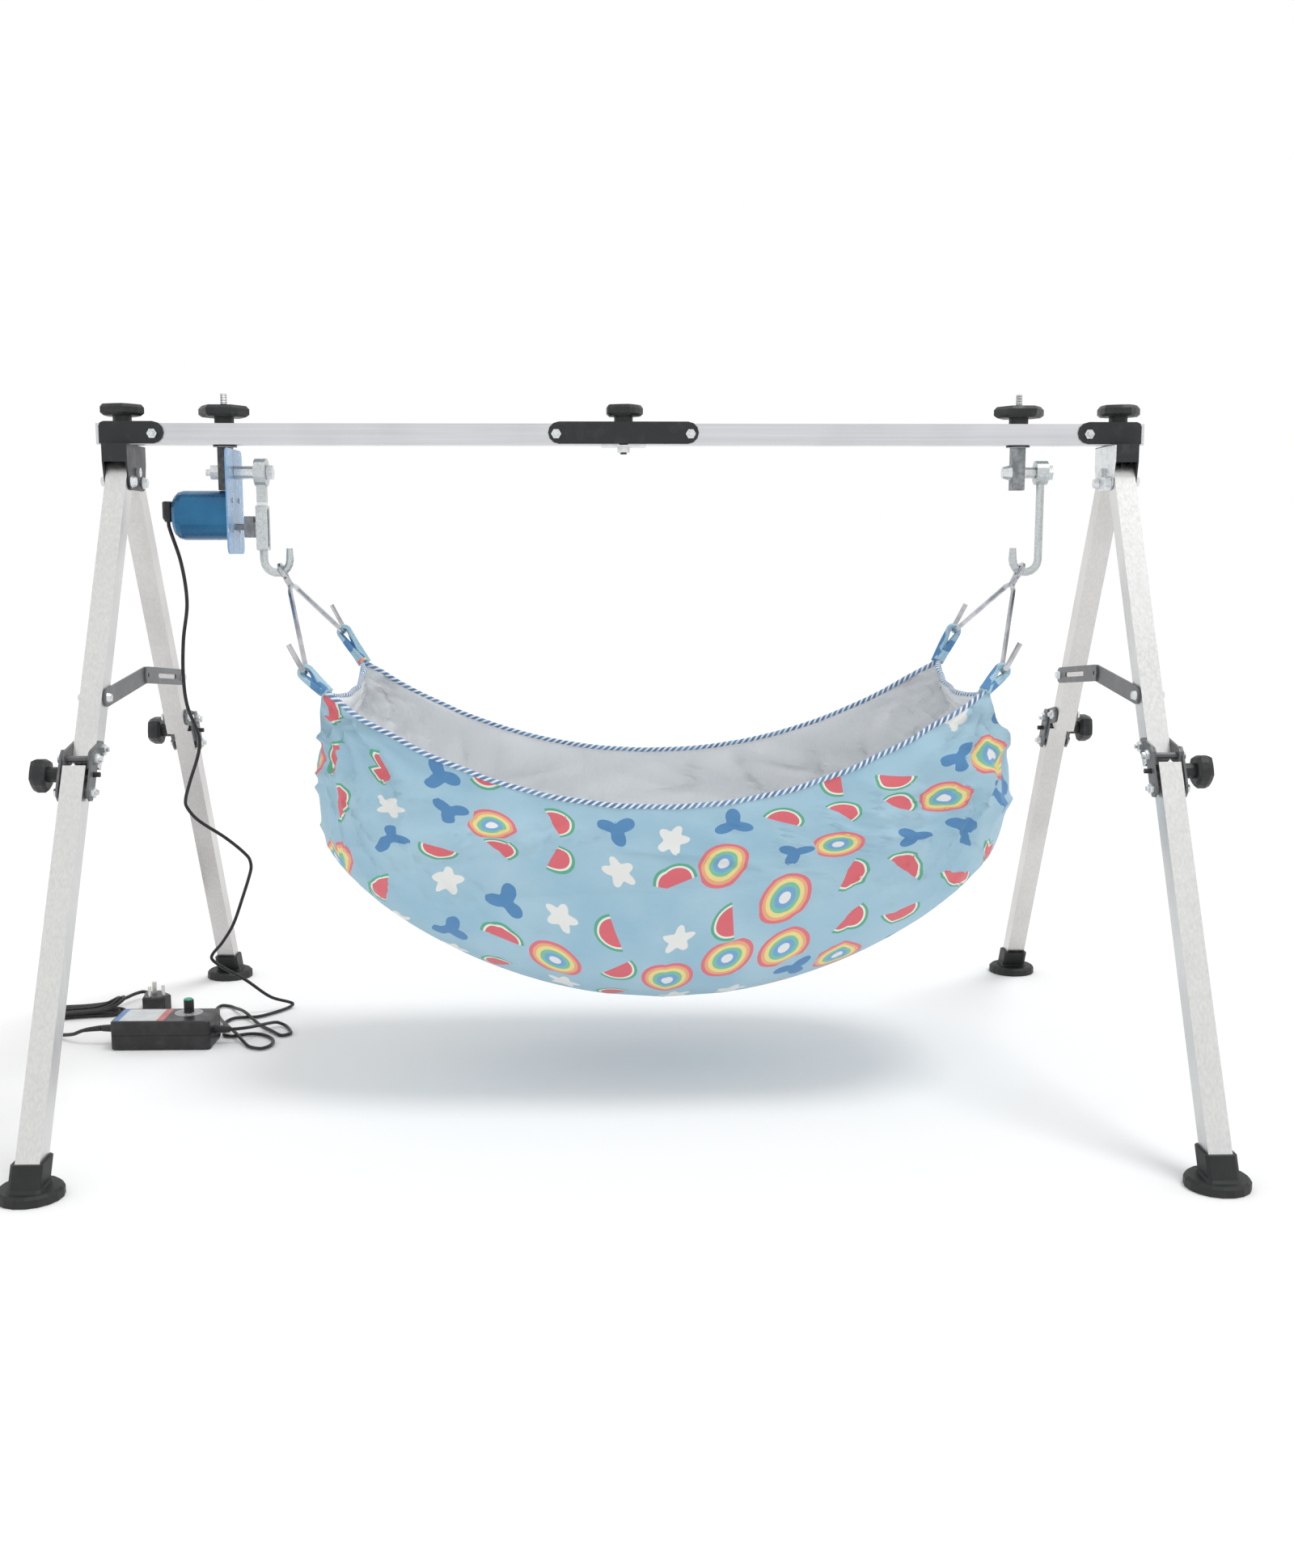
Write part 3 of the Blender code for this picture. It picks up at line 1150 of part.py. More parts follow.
def bowl(outset, thickness):
    """An open bowl of even wall: rings down the outside and up the inside, creased alike."""
    inner = outset + thickness
    rings = [sling_ring(share, outset, outset) for share in DEPTH_SHARES]
    rings += [sling_ring(share, inner, inner) for share in reversed(DEPTH_SHARES)]
    count = len(rings[0])
    verts = [point for ring in rings for point in ring]
    faces = []
    for ring in range(len(rings)):
        if ring == len(DEPTH_SHARES) - 1:
            continue
        low = ring * count
        high = (ring + 1) % len(rings) * count
        for i in range(count):
            j = (i + 1) % count
            near, far = (i, j) if ring < len(DEPTH_SHARES) else (j, i)
            faces += [(low + near, low + far, high + far), (low + near, high + far, high + near)]
    floor = count * (len(DEPTH_SHARES) - 1)
    for start in (floor, floor + count):
        for quad in floor_ladder():
            a, b, c, d = [start + (i % count) for i in quad]
            faces += [(a, b, c), (a, c, d)]
    return solid(verts, faces)


def floor_ladder():
    """Four-sided faces that close a ring of the bowl, across from the front to the back."""
    far = 2 * SIDE_STEPS + END_STEPS
    quads = [(i, i + 1, far - i - 1, far - i) for i in range(SIDE_STEPS)]
    for first in (SIDE_STEPS, far):
        last = first + END_STEPS
        quads += [(first + i, first + i + 1, last - i - 1, last - i) for i in range(END_STEPS // 2)]
    return quads


def corner_loop(sign, end):
    """A bunched cloth loop from a corner of the rim, over the end hook of a wire."""
    frame = wire_frame(sign)
    seat = frame @ Vector((0, end * WIRE_ARM_Y, -WIRE_BASE))
    up = (frame.to_3x3() @ Vector((0, 0, 1))).normalized()
    side = (frame.to_3x3() @ Vector((1, 0, 0))).normalized() * -sign
    radius = (WIRE_R + LOOP_R) / math.cos(math.pi / WIRE_SIDES / 2) + TURN_GAP
    ring = sling_ring(0, -LOOP_OUT, 0)
    first = {(-1, -1): 0, (1, -1): SIDE_STEPS, (1, 1): SIDE_STEPS + END_STEPS,
             (-1, 1): 2 * SIDE_STEPS + END_STEPS}[(sign, end)]
    corner = Vector(ring[first])
    before = Vector(ring[first - 1])
    after = Vector(ring[(first + 1) % len(ring)])
    start = corner + (before - corner).normalized() * LOOP_R * LOOP_SPREAD_SHARE
    finish = corner + (after - corner).normalized() * LOOP_R * LOOP_SPREAD_SHARE
    along_end = (start, finish) if abs(start.x - seat.x) > abs(finish.x - seat.x) else (finish, start)
    over = [seat + radius * (math.cos(a) * side + math.sin(a) * up)
            for a in [math.pi * i / LOOP_STEPS for i in range(LOOP_STEPS + 1)]]
    path = [along_end[0], *over, along_end[1]]
    return pipe(path, LOOP_R, WIRE_SIDES)


def build_sling():
    """Everything below the hooks, placed from the sway axis at the left wire."""
    origin = (WIRE_X[-1], 0, SWAY_Z)
    sway = marker("sway_axis", None, origin)
    for side, sign in (("left", -1), ("right", 1)):
        frame = wire_frame(sign)
        wire = wire_hanger()
        wire.data.transform(Matrix.Translation((-WIRE_X[-1], 0, -SWAY_Z)) @ frame)
        node(wire, f"wire_hanger_{side}", "chrome", sway)
    home = Matrix.Translation((-WIRE_X[-1], 0, -SWAY_Z))
    loops = [corner_loop(sign, end) for sign in (-1, 1) for end in (-1, 1)]
    outer = joined([bowl(0, CLOTH), *loops], solver="MANIFOLD")
    outer.data.transform(home)
    node(outer, "sling_cloth", "cotton", sway)
    lining = bowl(CLOTH + LINING_GAP, NET)
    lining.data.transform(home)
    node(lining, "sling_net", "net", sway)


# Speed control and cords

MOTOR_REAR = -HANGER_X + HALF_BLOCK - MOTOR_LEN
DC_PLUG_X = MOTOR_REAR - DC_PLUG_OUT
DC_TAIL_Z = SOCKET_Z - DC_PLUG_DOWN
BOX_LOW_X = BOX_X - BOX_LEN / 2
BOX_HIGH_X = BOX_X + BOX_LEN / 2
DIAL_X = BOX_HIGH_X - DIAL_IN
DIAL_Y = BOX_Y + BOX_DEPTH / 2 - DIAL_FROM_BACK


def controller_box():
    """A moulded case with a seam, two cable glands and the bore for its knob."""
    def section(z, inset):
        x = (BOX_LOW_X + inset, BOX_HIGH_X - inset)
        y = (BOX_Y - BOX_DEPTH / 2 + inset, BOX_Y + BOX_DEPTH / 2 - inset)
        return (z, rounded(x, y, BOX_ROUND, 2))

    seam = BOX_H / 2
    case = loft("Z", [section(0, BOX_EDGE), section(BOX_EDGE, 0), section(seam, 0),
                      section(seam, SEAM_DEEP), section(seam + SEAM_H, SEAM_DEEP),
                      section(seam + SEAM_H, 0), section(BOX_H - BOX_EDGE, 0),
                      section(BOX_H, BOX_EDGE)])
    glands = []
    bores = []
    for face, way, z, cord_r in ((BOX_LOW_X, -1, MAINS_GLAND_Z, MAINS_R),
                                 (BOX_HIGH_X, 1, MOTOR_GLAND_Z, LEAD_R)):
        end = face + way * GLAND_LEN
        glands.append(turned("X", GLAND_Y, z, [(face - way * GAP, GLAND_R), (end, GLAND_TIP_R)],
                             HEAD_SIDES))
        bores.append(rod("X", GLAND_Y, z, cord_r + GAP, *sorted((end - way * GLAND_BORE,
                         end + way * CUT_OVERRUN)), HEAD_SIDES))
    well = rod("Z", DIAL_X, DIAL_Y, DIAL_SHAFT_R + TURN_GAP, BOX_H - DIAL_WELL, BOX_H + CUT_OVERRUN)
    return joined([case, *glands], [*bores, well])


def controller_knob():
    """A tall knob with a pointer rib and a rounded cap, measured from the case's top."""
    profile = [(GAP, DIAL_KNOB_R), (DIAL_KNOB_H - DIAL_CAP, DIAL_KNOB_R),
               (DIAL_KNOB_H, DIAL_KNOB_R - DIAL_CAP)]
    grip = turned("Z", 0, 0, profile, STEM_SIDES)
    rib = box((0, DIAL_KNOB_R + DIAL_RIB), (-DIAL_RIB, DIAL_RIB), (2 * GAP, DIAL_KNOB_H - DIAL_CAP))
    shaft = rod("Z", 0, 0, DIAL_SHAFT_R, GAP - DIAL_WELL, 2 * GAP)
    return joined([grip, rib, shaft])


def dc_plug():
    """An angled plug: its barrel in the motor's socket, its tail down to the lead."""
    body = turned("Z", DC_PLUG_X, 0, [(DC_TAIL_Z, DC_TAIL_R), (DC_TAIL_Z + DC_TAIL_LEN, DC_PLUG_R),
                                      (SOCKET_Z + DC_PLUG_UP - DC_ROUND, DC_PLUG_R),
                                      (SOCKET_Z + DC_PLUG_UP, DC_PLUG_R - DC_ROUND)], STEM_SIDES)
    collar = rod("X", 0, SOCKET_Z, DC_PLUG_R - DC_ROUND, DC_PLUG_X, MOTOR_REAR - GAP)
    barrel = rod("X", 0, SOCKET_Z, SOCKET_R - GAP, DC_PLUG_X, MOTOR_REAR + SOCKET_DEEP - GAP)
    bore = rod("Z", DC_PLUG_X, 0, LEAD_R + GAP, DC_TAIL_Z - CUT_OVERRUN, DC_TAIL_Z + CORD_IN, HEAD_SIDES)
    return joined([body, collar, barrel], [bore])


def mains_plug():
    """A three-pin plug on its back, pins up, measured from its middle with its neck along X."""
    outline = [(-PLUG_LEN / 2, -PLUG_BACK_Y / 2), (PLUG_LEN / 4, -PLUG_Y / 2),
               (PLUG_LEN / 2, -PLUG_Y / 4), (PLUG_LEN / 2, PLUG_Y / 4),
               (PLUG_LEN / 4, PLUG_Y / 2), (-PLUG_LEN / 2, PLUG_BACK_Y / 2)]
    turned_outline = [(-u, v) for u, v in outline]
    body = loft("Z", [(GAP, turned_outline), (PLUG_H - PLUG_EDGE, turned_outline),
                      (PLUG_H, [(u * PLUG_TOP_SHARE, v * PLUG_TOP_SHARE) for u, v in turned_outline])])
    neck = turned("X", 0, PLUG_NECK_Z, [(PLUG_LEN / 2 - PLUG_EDGE, PLUG_NECK_R),
                                        (PLUG_LEN / 2 + PLUG_NECK, MAINS_R + PLUG_EDGE)], BOLT_SIDES)
    pins = [rod("Z", PIN_EARTH_X, 0, PIN_EARTH_R, PLUG_H - GAP, PLUG_H + PIN_EARTH_H)]
    pins += [rod("Z", PIN_EARTH_X - PIN_BACK, way * PIN_Y, PIN_R, PLUG_H - GAP, PLUG_H + PIN_H)
             for way in (-1, 1)]
    bore = rod("X", 0, PLUG_NECK_Z, MAINS_R + GAP, PLUG_LEN / 2 + PLUG_NECK - CORD_IN,
               PLUG_LEN / 2 + PLUG_NECK + CUT_OVERRUN)
    return joined([body, neck, *pins], [bore])


def smooth(points, step, floor):
    """Points a step apart on one smooth curve through the route's own, none below floor."""
    path = [Vector(p) for p in points]
    gaps = [(b - a).length for a, b in zip(path, path[1:])]
    ways = [(path[1] - path[0]) / gaps[0]]
    ways += [(path[i + 1] - path[i - 1]) / (gaps[i] + gaps[i - 1]) for i in range(1, len(path) - 1)]
    ways.append((path[-1] - path[-2]) / gaps[-1])
    line = []
    for i, gap in enumerate(gaps):
        steps = max(1, round(gap / step))
        for k in range(steps):
            t = k / steps
            line.append(path[i] * (2 * t ** 3 - 3 * t ** 2 + 1) + ways[i] * gap * (t ** 3 - 2 * t ** 2 + t)
                        + path[i + 1] * (3 * t ** 2 - 2 * t ** 3) + ways[i + 1] * gap * (t ** 3 - t ** 2))
    line.append(path[-1])
    for point in line:
        point.z = max(point.z, floor)
    return line


def thinned(line, nearest, turn, farthest):
    """The points of a fine line that its bends need, both ends kept."""
    kept = [line[0], line[CORD_END_STEPS]]
    for point, after in zip(line[CORD_END_STEPS + 1:], line[CORD_END_STEPS + 2:]):
        span = (point - kept[-1]).length
        bend = (kept[-1] - kept[-2]).angle(after - point)
        left = (line[-1 - CORD_END_STEPS] - point).length
        if left > nearest and (span > farthest or (span > nearest and bend > turn)):
            kept.append(point)
    return [*kept, line[-1 - CORD_END_STEPS], line[-1]]


def least_gap(line, radius, apart):
    """The least distance between the surfaces of a tube's turns, read on its points."""
    run = [0.0]
    for a, b in zip(line, line[1:]):
        run.append(run[-1] + (b - a).length)
    gaps = [(a - b).length for i, a in enumerate(line) for j, b in enumerate(line) if run[j] - run[i] > apart]
    return min(gaps) - 2 * radius


def tube(name, line, radius, resolution):
    """A cord: one spline through its points, with closed ends."""
    shape = bpy.data.curves.new(name, "CURVE")
    shape.dimensions = "3D"
    shape.bevel_depth = radius
    shape.bevel_resolution = resolution
    shape.use_fill_caps = True
    spline = shape.splines.new("POLY")
    spline.points.add(len(line) - 1)
    for slot, point in zip(spline.points, line):
        slot.co = (*point, 1)
    return link(shape, name)


def lead_line():
    """The motor's lead: down from its plug, then in loose loops to the right gland."""
    start = Vector((DC_PLUG_X, 0, DC_TAIL_Z + CORD_IN - GAP))
    points = [start, start - Vector((0, 0, CORD_IN + 2 * LEAD_R))]
    points += [Vector((DC_PLUG_X + x, y, DC_TAIL_Z * share)) for x, y, share in LEAD_HANG]
    gland = Vector((BOX_HIGH_X + GLAND_LEN, GLAND_Y, 0))
    points += [gland + Vector((x, y, LEAD_R + GAP + z)) for x, y, z in LEAD_FLOOR]
    end = Vector((gland.x - GLAND_BORE + GAP, GLAND_Y, MOTOR_GLAND_Z))
    points += [end + Vector((GLAND_BORE + 4 * LEAD_R, 0, 0)), end + Vector((GLAND_BORE + LEAD_R, 0, 0)), end]
    return smooth(points, FINE_STEP, LEAD_R + GAP)


def hank_line():
    """The mains cord's hank: two flat layers of loops, in and out again, drawn in at the tie."""
    turn = Matrix.Rotation(HANK_TURN, 4, "Z")
    place = Matrix.Translation((BOX_LOW_X - HANK_LEFT, BOX_Y + HANK_BACK, 0)) @ turn
    points = []
    for i in range(round(HANK_TURNS * HANK_STEPS) + 1):
        turns = i / HANK_STEPS
        offset = HANK_PITCH * abs(HANK_LOOPS - turns)
        climb = min(1, max(0, (turns - HANK_LOOPS) * 2 + 1 / 2))
        angle = math.pi - 2 * math.pi * turns
        along_share = math.cos(angle)
        waist = HANK_WAIST + (HANK_WIDE - HANK_WAIST) * min(1, (along_share / HANK_LOBE_SHARE) ** 2)
        u = (HANK_LONG + offset) * power(along_share, HANK_SQUARE)
        v = (waist + offset) * power(math.sin(angle), HANK_SQUARE)
        fan = HANK_FAN * climb * max(0, along_share) ** 2
        points.append(place @ Vector((u, v, MAINS_R + GAP + HANK_LAYER * climb + fan)))
    return points


def neck_end():
    """The mouth of the plug's neck and the way that it points."""
    way = Vector((math.cos(PLUG_TURN), math.sin(PLUG_TURN), 0))
    reach = PLUG_LEN / 2 + PLUG_NECK
    return Vector((PLUG_X, PLUG_PLACE_Y, PLUG_NECK_Z)) + way * reach, way


def mains_lines():
    """The stretch from the left gland to the hank, and the hank with its tail to the plug."""
    loops = hank_line()
    way = (loops[1] - loops[0]).normalized()
    straight = 2 * MAINS_R
    loops.insert(0, loops[0] - way * straight)
    mouth, out = neck_end()
    tail = [loops[-2], loops[-1], *[mouth + Vector(p) for p in HANK_TAIL],
            mouth + out * 2 * straight, mouth + out * straight, mouth - out * (CORD_IN - GAP)]
    hank = [*loops, *smooth(tail, TAIL_STEP, MAINS_R + GAP)[2:]]
    gland = Vector((BOX_LOW_X - GLAND_LEN, GLAND_Y, MAINS_GLAND_Z))
    points = [gland + Vector((x, 0, 0)) for x in (GLAND_BORE - GAP, -straight, -2 * straight)]
    points += [gland + Vector(p) for p in MAINS_FLOOR]
    meet = loops[0] - way * GAP
    points += [meet - way * 2 * straight, meet]
    return smooth(points, FINE_STEP, MAINS_R + GAP), hank


def build_control():
    node(controller_box(), "controller_box", "black_plastic")
    node(controller_knob(), "controller_knob", "green_plastic", None, (DIAL_X, DIAL_Y, BOX_H))
    node(dc_plug(), "dc_plug", "black_plastic")
    node(mains_plug(), "mains_plug", "black_plastic", None, (PLUG_X, PLUG_PLACE_Y, 0), (0, 0, PLUG_TURN))
    lead = lead_line()
    print("least gap of the lead to itself", round(least_gap(lead, LEAD_R, LEAD_FARTHEST), 5))
    lead = thinned(lead, LEAD_NEAREST, LEAD_TURN, LEAD_FARTHEST)
    node(tube("motor_cord", lead, LEAD_R, 2), "motor_cord", "cable")
    stretch, hank = mains_lines()
    print("least gap of the hank to itself", round(least_gap(hank, MAINS_R, HANK_LONG), 5))
    stretch = thinned(stretch, LEAD_NEAREST, LEAD_TURN, LEAD_FARTHEST)
    node(tube("mains_cord", stretch, MAINS_R, 2), "mains_cord", "cable")
    node(tube("mains_hank", hank, MAINS_R, 1), "mains_hank", "cable")


build_legs()
build_top()
build_hangers()
build_sling()
build_control()
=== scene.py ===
import math
import bpy
from mathutils import Matrix, Vector, noise


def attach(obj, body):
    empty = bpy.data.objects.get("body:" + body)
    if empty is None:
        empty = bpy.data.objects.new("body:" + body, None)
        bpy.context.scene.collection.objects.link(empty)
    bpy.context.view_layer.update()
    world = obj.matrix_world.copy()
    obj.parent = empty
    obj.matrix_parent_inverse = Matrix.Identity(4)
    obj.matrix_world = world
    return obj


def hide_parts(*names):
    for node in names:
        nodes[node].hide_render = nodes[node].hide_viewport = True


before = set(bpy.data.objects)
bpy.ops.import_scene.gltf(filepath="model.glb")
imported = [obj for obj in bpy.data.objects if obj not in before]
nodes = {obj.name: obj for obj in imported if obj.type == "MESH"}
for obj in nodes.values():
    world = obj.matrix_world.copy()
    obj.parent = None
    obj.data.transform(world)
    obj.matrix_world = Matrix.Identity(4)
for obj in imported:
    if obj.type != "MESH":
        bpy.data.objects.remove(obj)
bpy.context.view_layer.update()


# ---------------------------------------------------------------- camera
# A long lens two metres in front of the stand, at three quarters of its height,
# tipped down a little: the photograph is framed by the bar, the feet and air.
CAMERA_AT = (-0.0150, -2.0289, 0.6495)
CAMERA_TIP, CAMERA_ROLL, CAMERA_TURN = 0.1411, 0.0006, -0.0216
CAMERA_FOCUS_PX, PHOTO_WIDE_PX, SENSOR_MM = 2000.5, 1600, 36


def placed(name, data):
    """A new object of the scene that shows the data."""
    made = bpy.data.objects.new(name, data)
    bpy.context.scene.collection.objects.link(made)
    return made


camera_data = bpy.data.cameras.new("studio_camera")
camera_data.sensor_fit = "HORIZONTAL"
camera_data.sensor_width = SENSOR_MM
camera_data.lens = CAMERA_FOCUS_PX / PHOTO_WIDE_PX * SENSOR_MM
camera_data.clip_start = 0.05
camera = placed("studio_camera", camera_data)
camera.location = CAMERA_AT
camera.rotation_euler = (math.pi / 2 - CAMERA_TIP, CAMERA_ROLL, CAMERA_TURN)
bpy.context.scene.camera = camera
bpy.context.scene.view_settings.view_transform = "Standard"


# ---------------------------------------------------------------- motor's lead
# A thin round two-core lead, black and a little glossy. It drops from the angled
# plug behind the motor, reaches the floor, and lies there in two loose loops
# before it enters the right end of the speed control.
LEAD_ROUTE_MM = [
    (-559.9, 0, 691.7), (-559.9, 0, 684.2), (-547.3, 2.3, 638.7), (-543.5, 7.7, 590.4),
    (-551.7, 15, 543.6), (-556, 23.6, 498.2), (-554.7, 31.3, 460), (-546.3, 51.3, 416.6),
    (-550, 57.8, 393.9), (-567.1, 73.1, 352.7), (-576.9, 88, 326), (-573.5, 95, 313.2),
    (-564.3, 104, 299.3), (-534.2, 127.2, 271), (-510.8, 145.2, 243.1), (-508.1, 150, 231.5),
    (-510.2, 155.1, 220.5), (-526, 171.5, 180.9), (-543.9, 186.3, 139.3), (-562.4, 196.8, 111.2),
    (-580.5, 205, 88.2), (-573.1, 210, 76.5), (-538.2, 222.3, 50.5), (-506.4, 237, 21.2),
    (-479, 257, 5.6), (-482.8, 245.4, 3), (-504.4, 213.4, 2.6), (-518.6, 200.1, 2.6),
    (-533.9, 198.1, 2.6), (-548.1, 194.4, 2.6), (-554.4, 183.8, 2.6), (-556.1, 168.2, 2.6),
    (-546.6, 123.8, 2.6), (-543, 112, 2.6), (-531, 107, 2.6), (-520, 113.7, 2.6),
    (-508.4, 117.8, 2.6), (-495.6, 115, 2.6), (-483.5, 105.6, 2.6), (-475, 93, 2.6),
    (-470.8, 77.5, 2.6), (-472.3, 61.9, 2.6), (-480.5, 51, 2.6), (-492.4, 54.8, 2.6),
    (-501.6, 63.8, 2.6), (-525, 102.3, 7.8), (-548.5, 144.1, 7.6), (-567.5, 188.5, 4.1),
    (-582.7, 230.9, 2.6), (-585, 246.7, 2.6), (-581, 259.1, 2.6), (-568, 254.4, 2.6),
    (-560.4, 244.4, 3.4), (-536.6, 204.5, 8.6), (-509.6, 166.8, 2.6), (-481.2, 127.9, 2.6),
    (-464.8, 109.2, 2.6), (-455.6, 118.6, 2.6), (-458.2, 130.6, 2.6), (-469, 155, 2.6),
    (-481, 161, 5.6), (-487.3, 150.8, 8.3), (-502.8, 107.4, 15.9), (-512.3, 89.8, 18.9),
    (-526.4, 85, 19), (-534.7, 85, 19),
]
LEAD_RADIUS, LEAD_STEP = 0.00225, 0.004
DEEP_BLACK = (0.010, 0.010, 0.011)


class Finish:
    """A Principled material with short calls that put patterns over its plain colour."""

    def __init__(self, name, colour, roughness, **sockets):
        self.material = bpy.data.materials.new(name)
        self.material.use_nodes = True
        self.tree = self.material.node_tree
        self.shader = self.tree.nodes["Principled BSDF"]
        sockets = {"Base_Color": (*colour, 1), "Roughness": roughness, **sockets}
        for socket, value in sockets.items():
            self.shader.inputs[socket.replace("_", " ")].default_value = value

    def add(self, kind, inputs=None, out=0, **settings):
        """A node with its settings; inputs are numbers, colours or other nodes' outputs."""
        made = self.tree.nodes.new("ShaderNode" + kind)
        for setting, value in settings.items():
            setattr(made, setting, value)
        for socket, value in (inputs or {}).items():
            if isinstance(value, bpy.types.NodeSocket):
                self.tree.links.new(value, made.inputs[socket])
            else:
                made.inputs[socket].default_value = value
        return made.outputs[out]

    def maths(self, operation, a, b=0.0):
        return self.add("Math", {0: a, 1: b}, operation=operation)

    def plus(self, a, b):
        return self.maths("ADD", a, b)

    def times(self, a, b):
        return self.maths("MULTIPLY", a, b)

    def above(self, value, edge):
        return self.maths("GREATER_THAN", value, edge)

    def below(self, value, edge):
        return self.maths("LESS_THAN", value, edge)

    def between(self, value, low, high):
        return self.times(self.above(value, low), self.below(value, high))

    def off(self, value, middle=0.0):
        """How far a value lies from a middle, on either side."""
        return self.maths("ABSOLUTE", self.maths("SUBTRACT", value, middle))

    def radius(self, x, y):
        return self.maths("SQRT", self.plus(self.times(x, x), self.times(y, y)))

    def axes(self, source=None):
        """X, Y and Z of the source, which is the piece's own place in metres if not given."""
        source = source or self.add("TexCoord", out="Object")
        return list(self.add("SeparateXYZ", {"Vector": source}).node.outputs)

    def place(self, scale=(1, 1, 1), uv=False):
        """Object coordinates in metres, or the piece's own UV map, times scale."""
        source = self.add("TexCoord", out="UV" if uv else "Object")
        return self.add("Mapping", {"Vector": source, "Scale": scale})

    def grain(self, scale, stretch=(1, 1, 1), detail=3.0, uv=False):
        """Fractal noise from 0 to 1, with scale grains a metre, drawn out along stretch."""
        return self.add("TexNoise", {"Vector": self.place(stretch, uv), "Scale": scale,
                                     "Detail": detail})

    def spread(self, share, low, high, start=0.0, end=1.0):
        """A number that runs from low to high as share runs from start to end."""
        return self.add("MapRange", {"Value": share, "From Min": start, "From Max": end,
                                     "To Min": low, "To Max": high})

    def blend(self, share, low, high):
        """One colour into another by share, which is 0 to 1."""
        low, high = [end if isinstance(end, bpy.types.NodeSocket) else (*end, 1)
                     for end in (low, high)]
        return self.add("Mix", {0: share, 6: low, 7: high}, 2, data_type="RGBA")

    def tones(self, pattern, start, end, low, high, most=1.0):
        """One colour into another, up to the share most, as a pattern runs from start to end."""
        return self.blend(self.spread(pattern, 0, most, start, end), low, high)

    def shaded(self, colour, shade):
        return self.add("Mix", {0: 1.0, 6: colour, 7: shade}, 2, data_type="RGBA",
                        blend_type="MULTIPLY")

    def feed(self, **sockets):
        for socket, value in sockets.items():
            self.tree.links.new(value, self.shader.inputs[socket.replace("_", " ")])
        return self

    def bump(self, height, depth, strength=1.0):
        made = self.add("Bump", {"Height": height, "Distance": depth, "Strength": strength})
        return self.feed(Normal=made)


def in_metres(route):
    return [[value / 1000 for value in point] for point in route]


def curved_through(points, step):
    """Points a step apart on one smooth line through the route's own points."""
    path = [Vector(point) for point in points]
    gaps = [(b - a).length for a, b in zip(path, path[1:])]
    ways = [(path[1] - path[0]) / gaps[0]]
    ways += [(path[i + 1] - path[i - 1]) / (gaps[i] + gaps[i - 1]) for i in range(1, len(path) - 1)]
    ways.append((path[-1] - path[-2]) / gaps[-1])
    line = []
    for i, gap in enumerate(gaps):
        steps = max(1, round(gap / step))
        for k in range(steps):
            t = k / steps
            line.append(path[i] * (2 * t ** 3 - 3 * t ** 2 + 1)
                        + ways[i] * gap * (t ** 3 - 2 * t ** 2 + t)
                        + path[i + 1] * (3 * t ** 2 - 2 * t ** 3)
                        + ways[i + 1] * gap * (t ** 3 - t ** 2))
    line.append(path[-1])
    return line


def laid_cord(name, line, radius):
    """A round cord along a line, as one open spline."""
    curve = bpy.data.curves.new(name, "CURVE")
    curve.dimensions = "3D"
    curve.bevel_depth = radius
    curve.bevel_resolution = 4
    curve.use_fill_caps = True
    spline = curve.splines.new("POLY")
    spline.points.add(len(line) - 1)
    for slot, point in zip(spline.points, line):
        slot.co = (*point, 1)
    spline.use_smooth = True
    return placed(name, curve)


def sheath():
    """Soft black PVC: faint scuffs that catch the light, and a slightly wavy skin."""
    finish = Finish("cord_sheath", (0.012, 0.012, 0.013), 0.4, Specular_IOR_Level=0.45)
    scuff = finish.grain(260, detail=4.0)
    finish.feed(Base_Color=finish.tones(scuff, 0.45, 0.75, DEEP_BLACK, (0.030, 0.030, 0.032)),
                Roughness=finish.spread(scuff, 0.32, 0.55))
    return finish.bump(finish.grain(900, detail=2.0), depth=0.00015).material


cord_sheath = sheath()
lead_line = curved_through(in_metres(LEAD_ROUTE_MM), LEAD_STEP)
motor_lead = laid_cord("motor_lead", lead_line, LEAD_RADIUS)
motor_lead.data.materials.append(cord_sheath)
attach(motor_lead, "stand")
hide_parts("motor_cord")


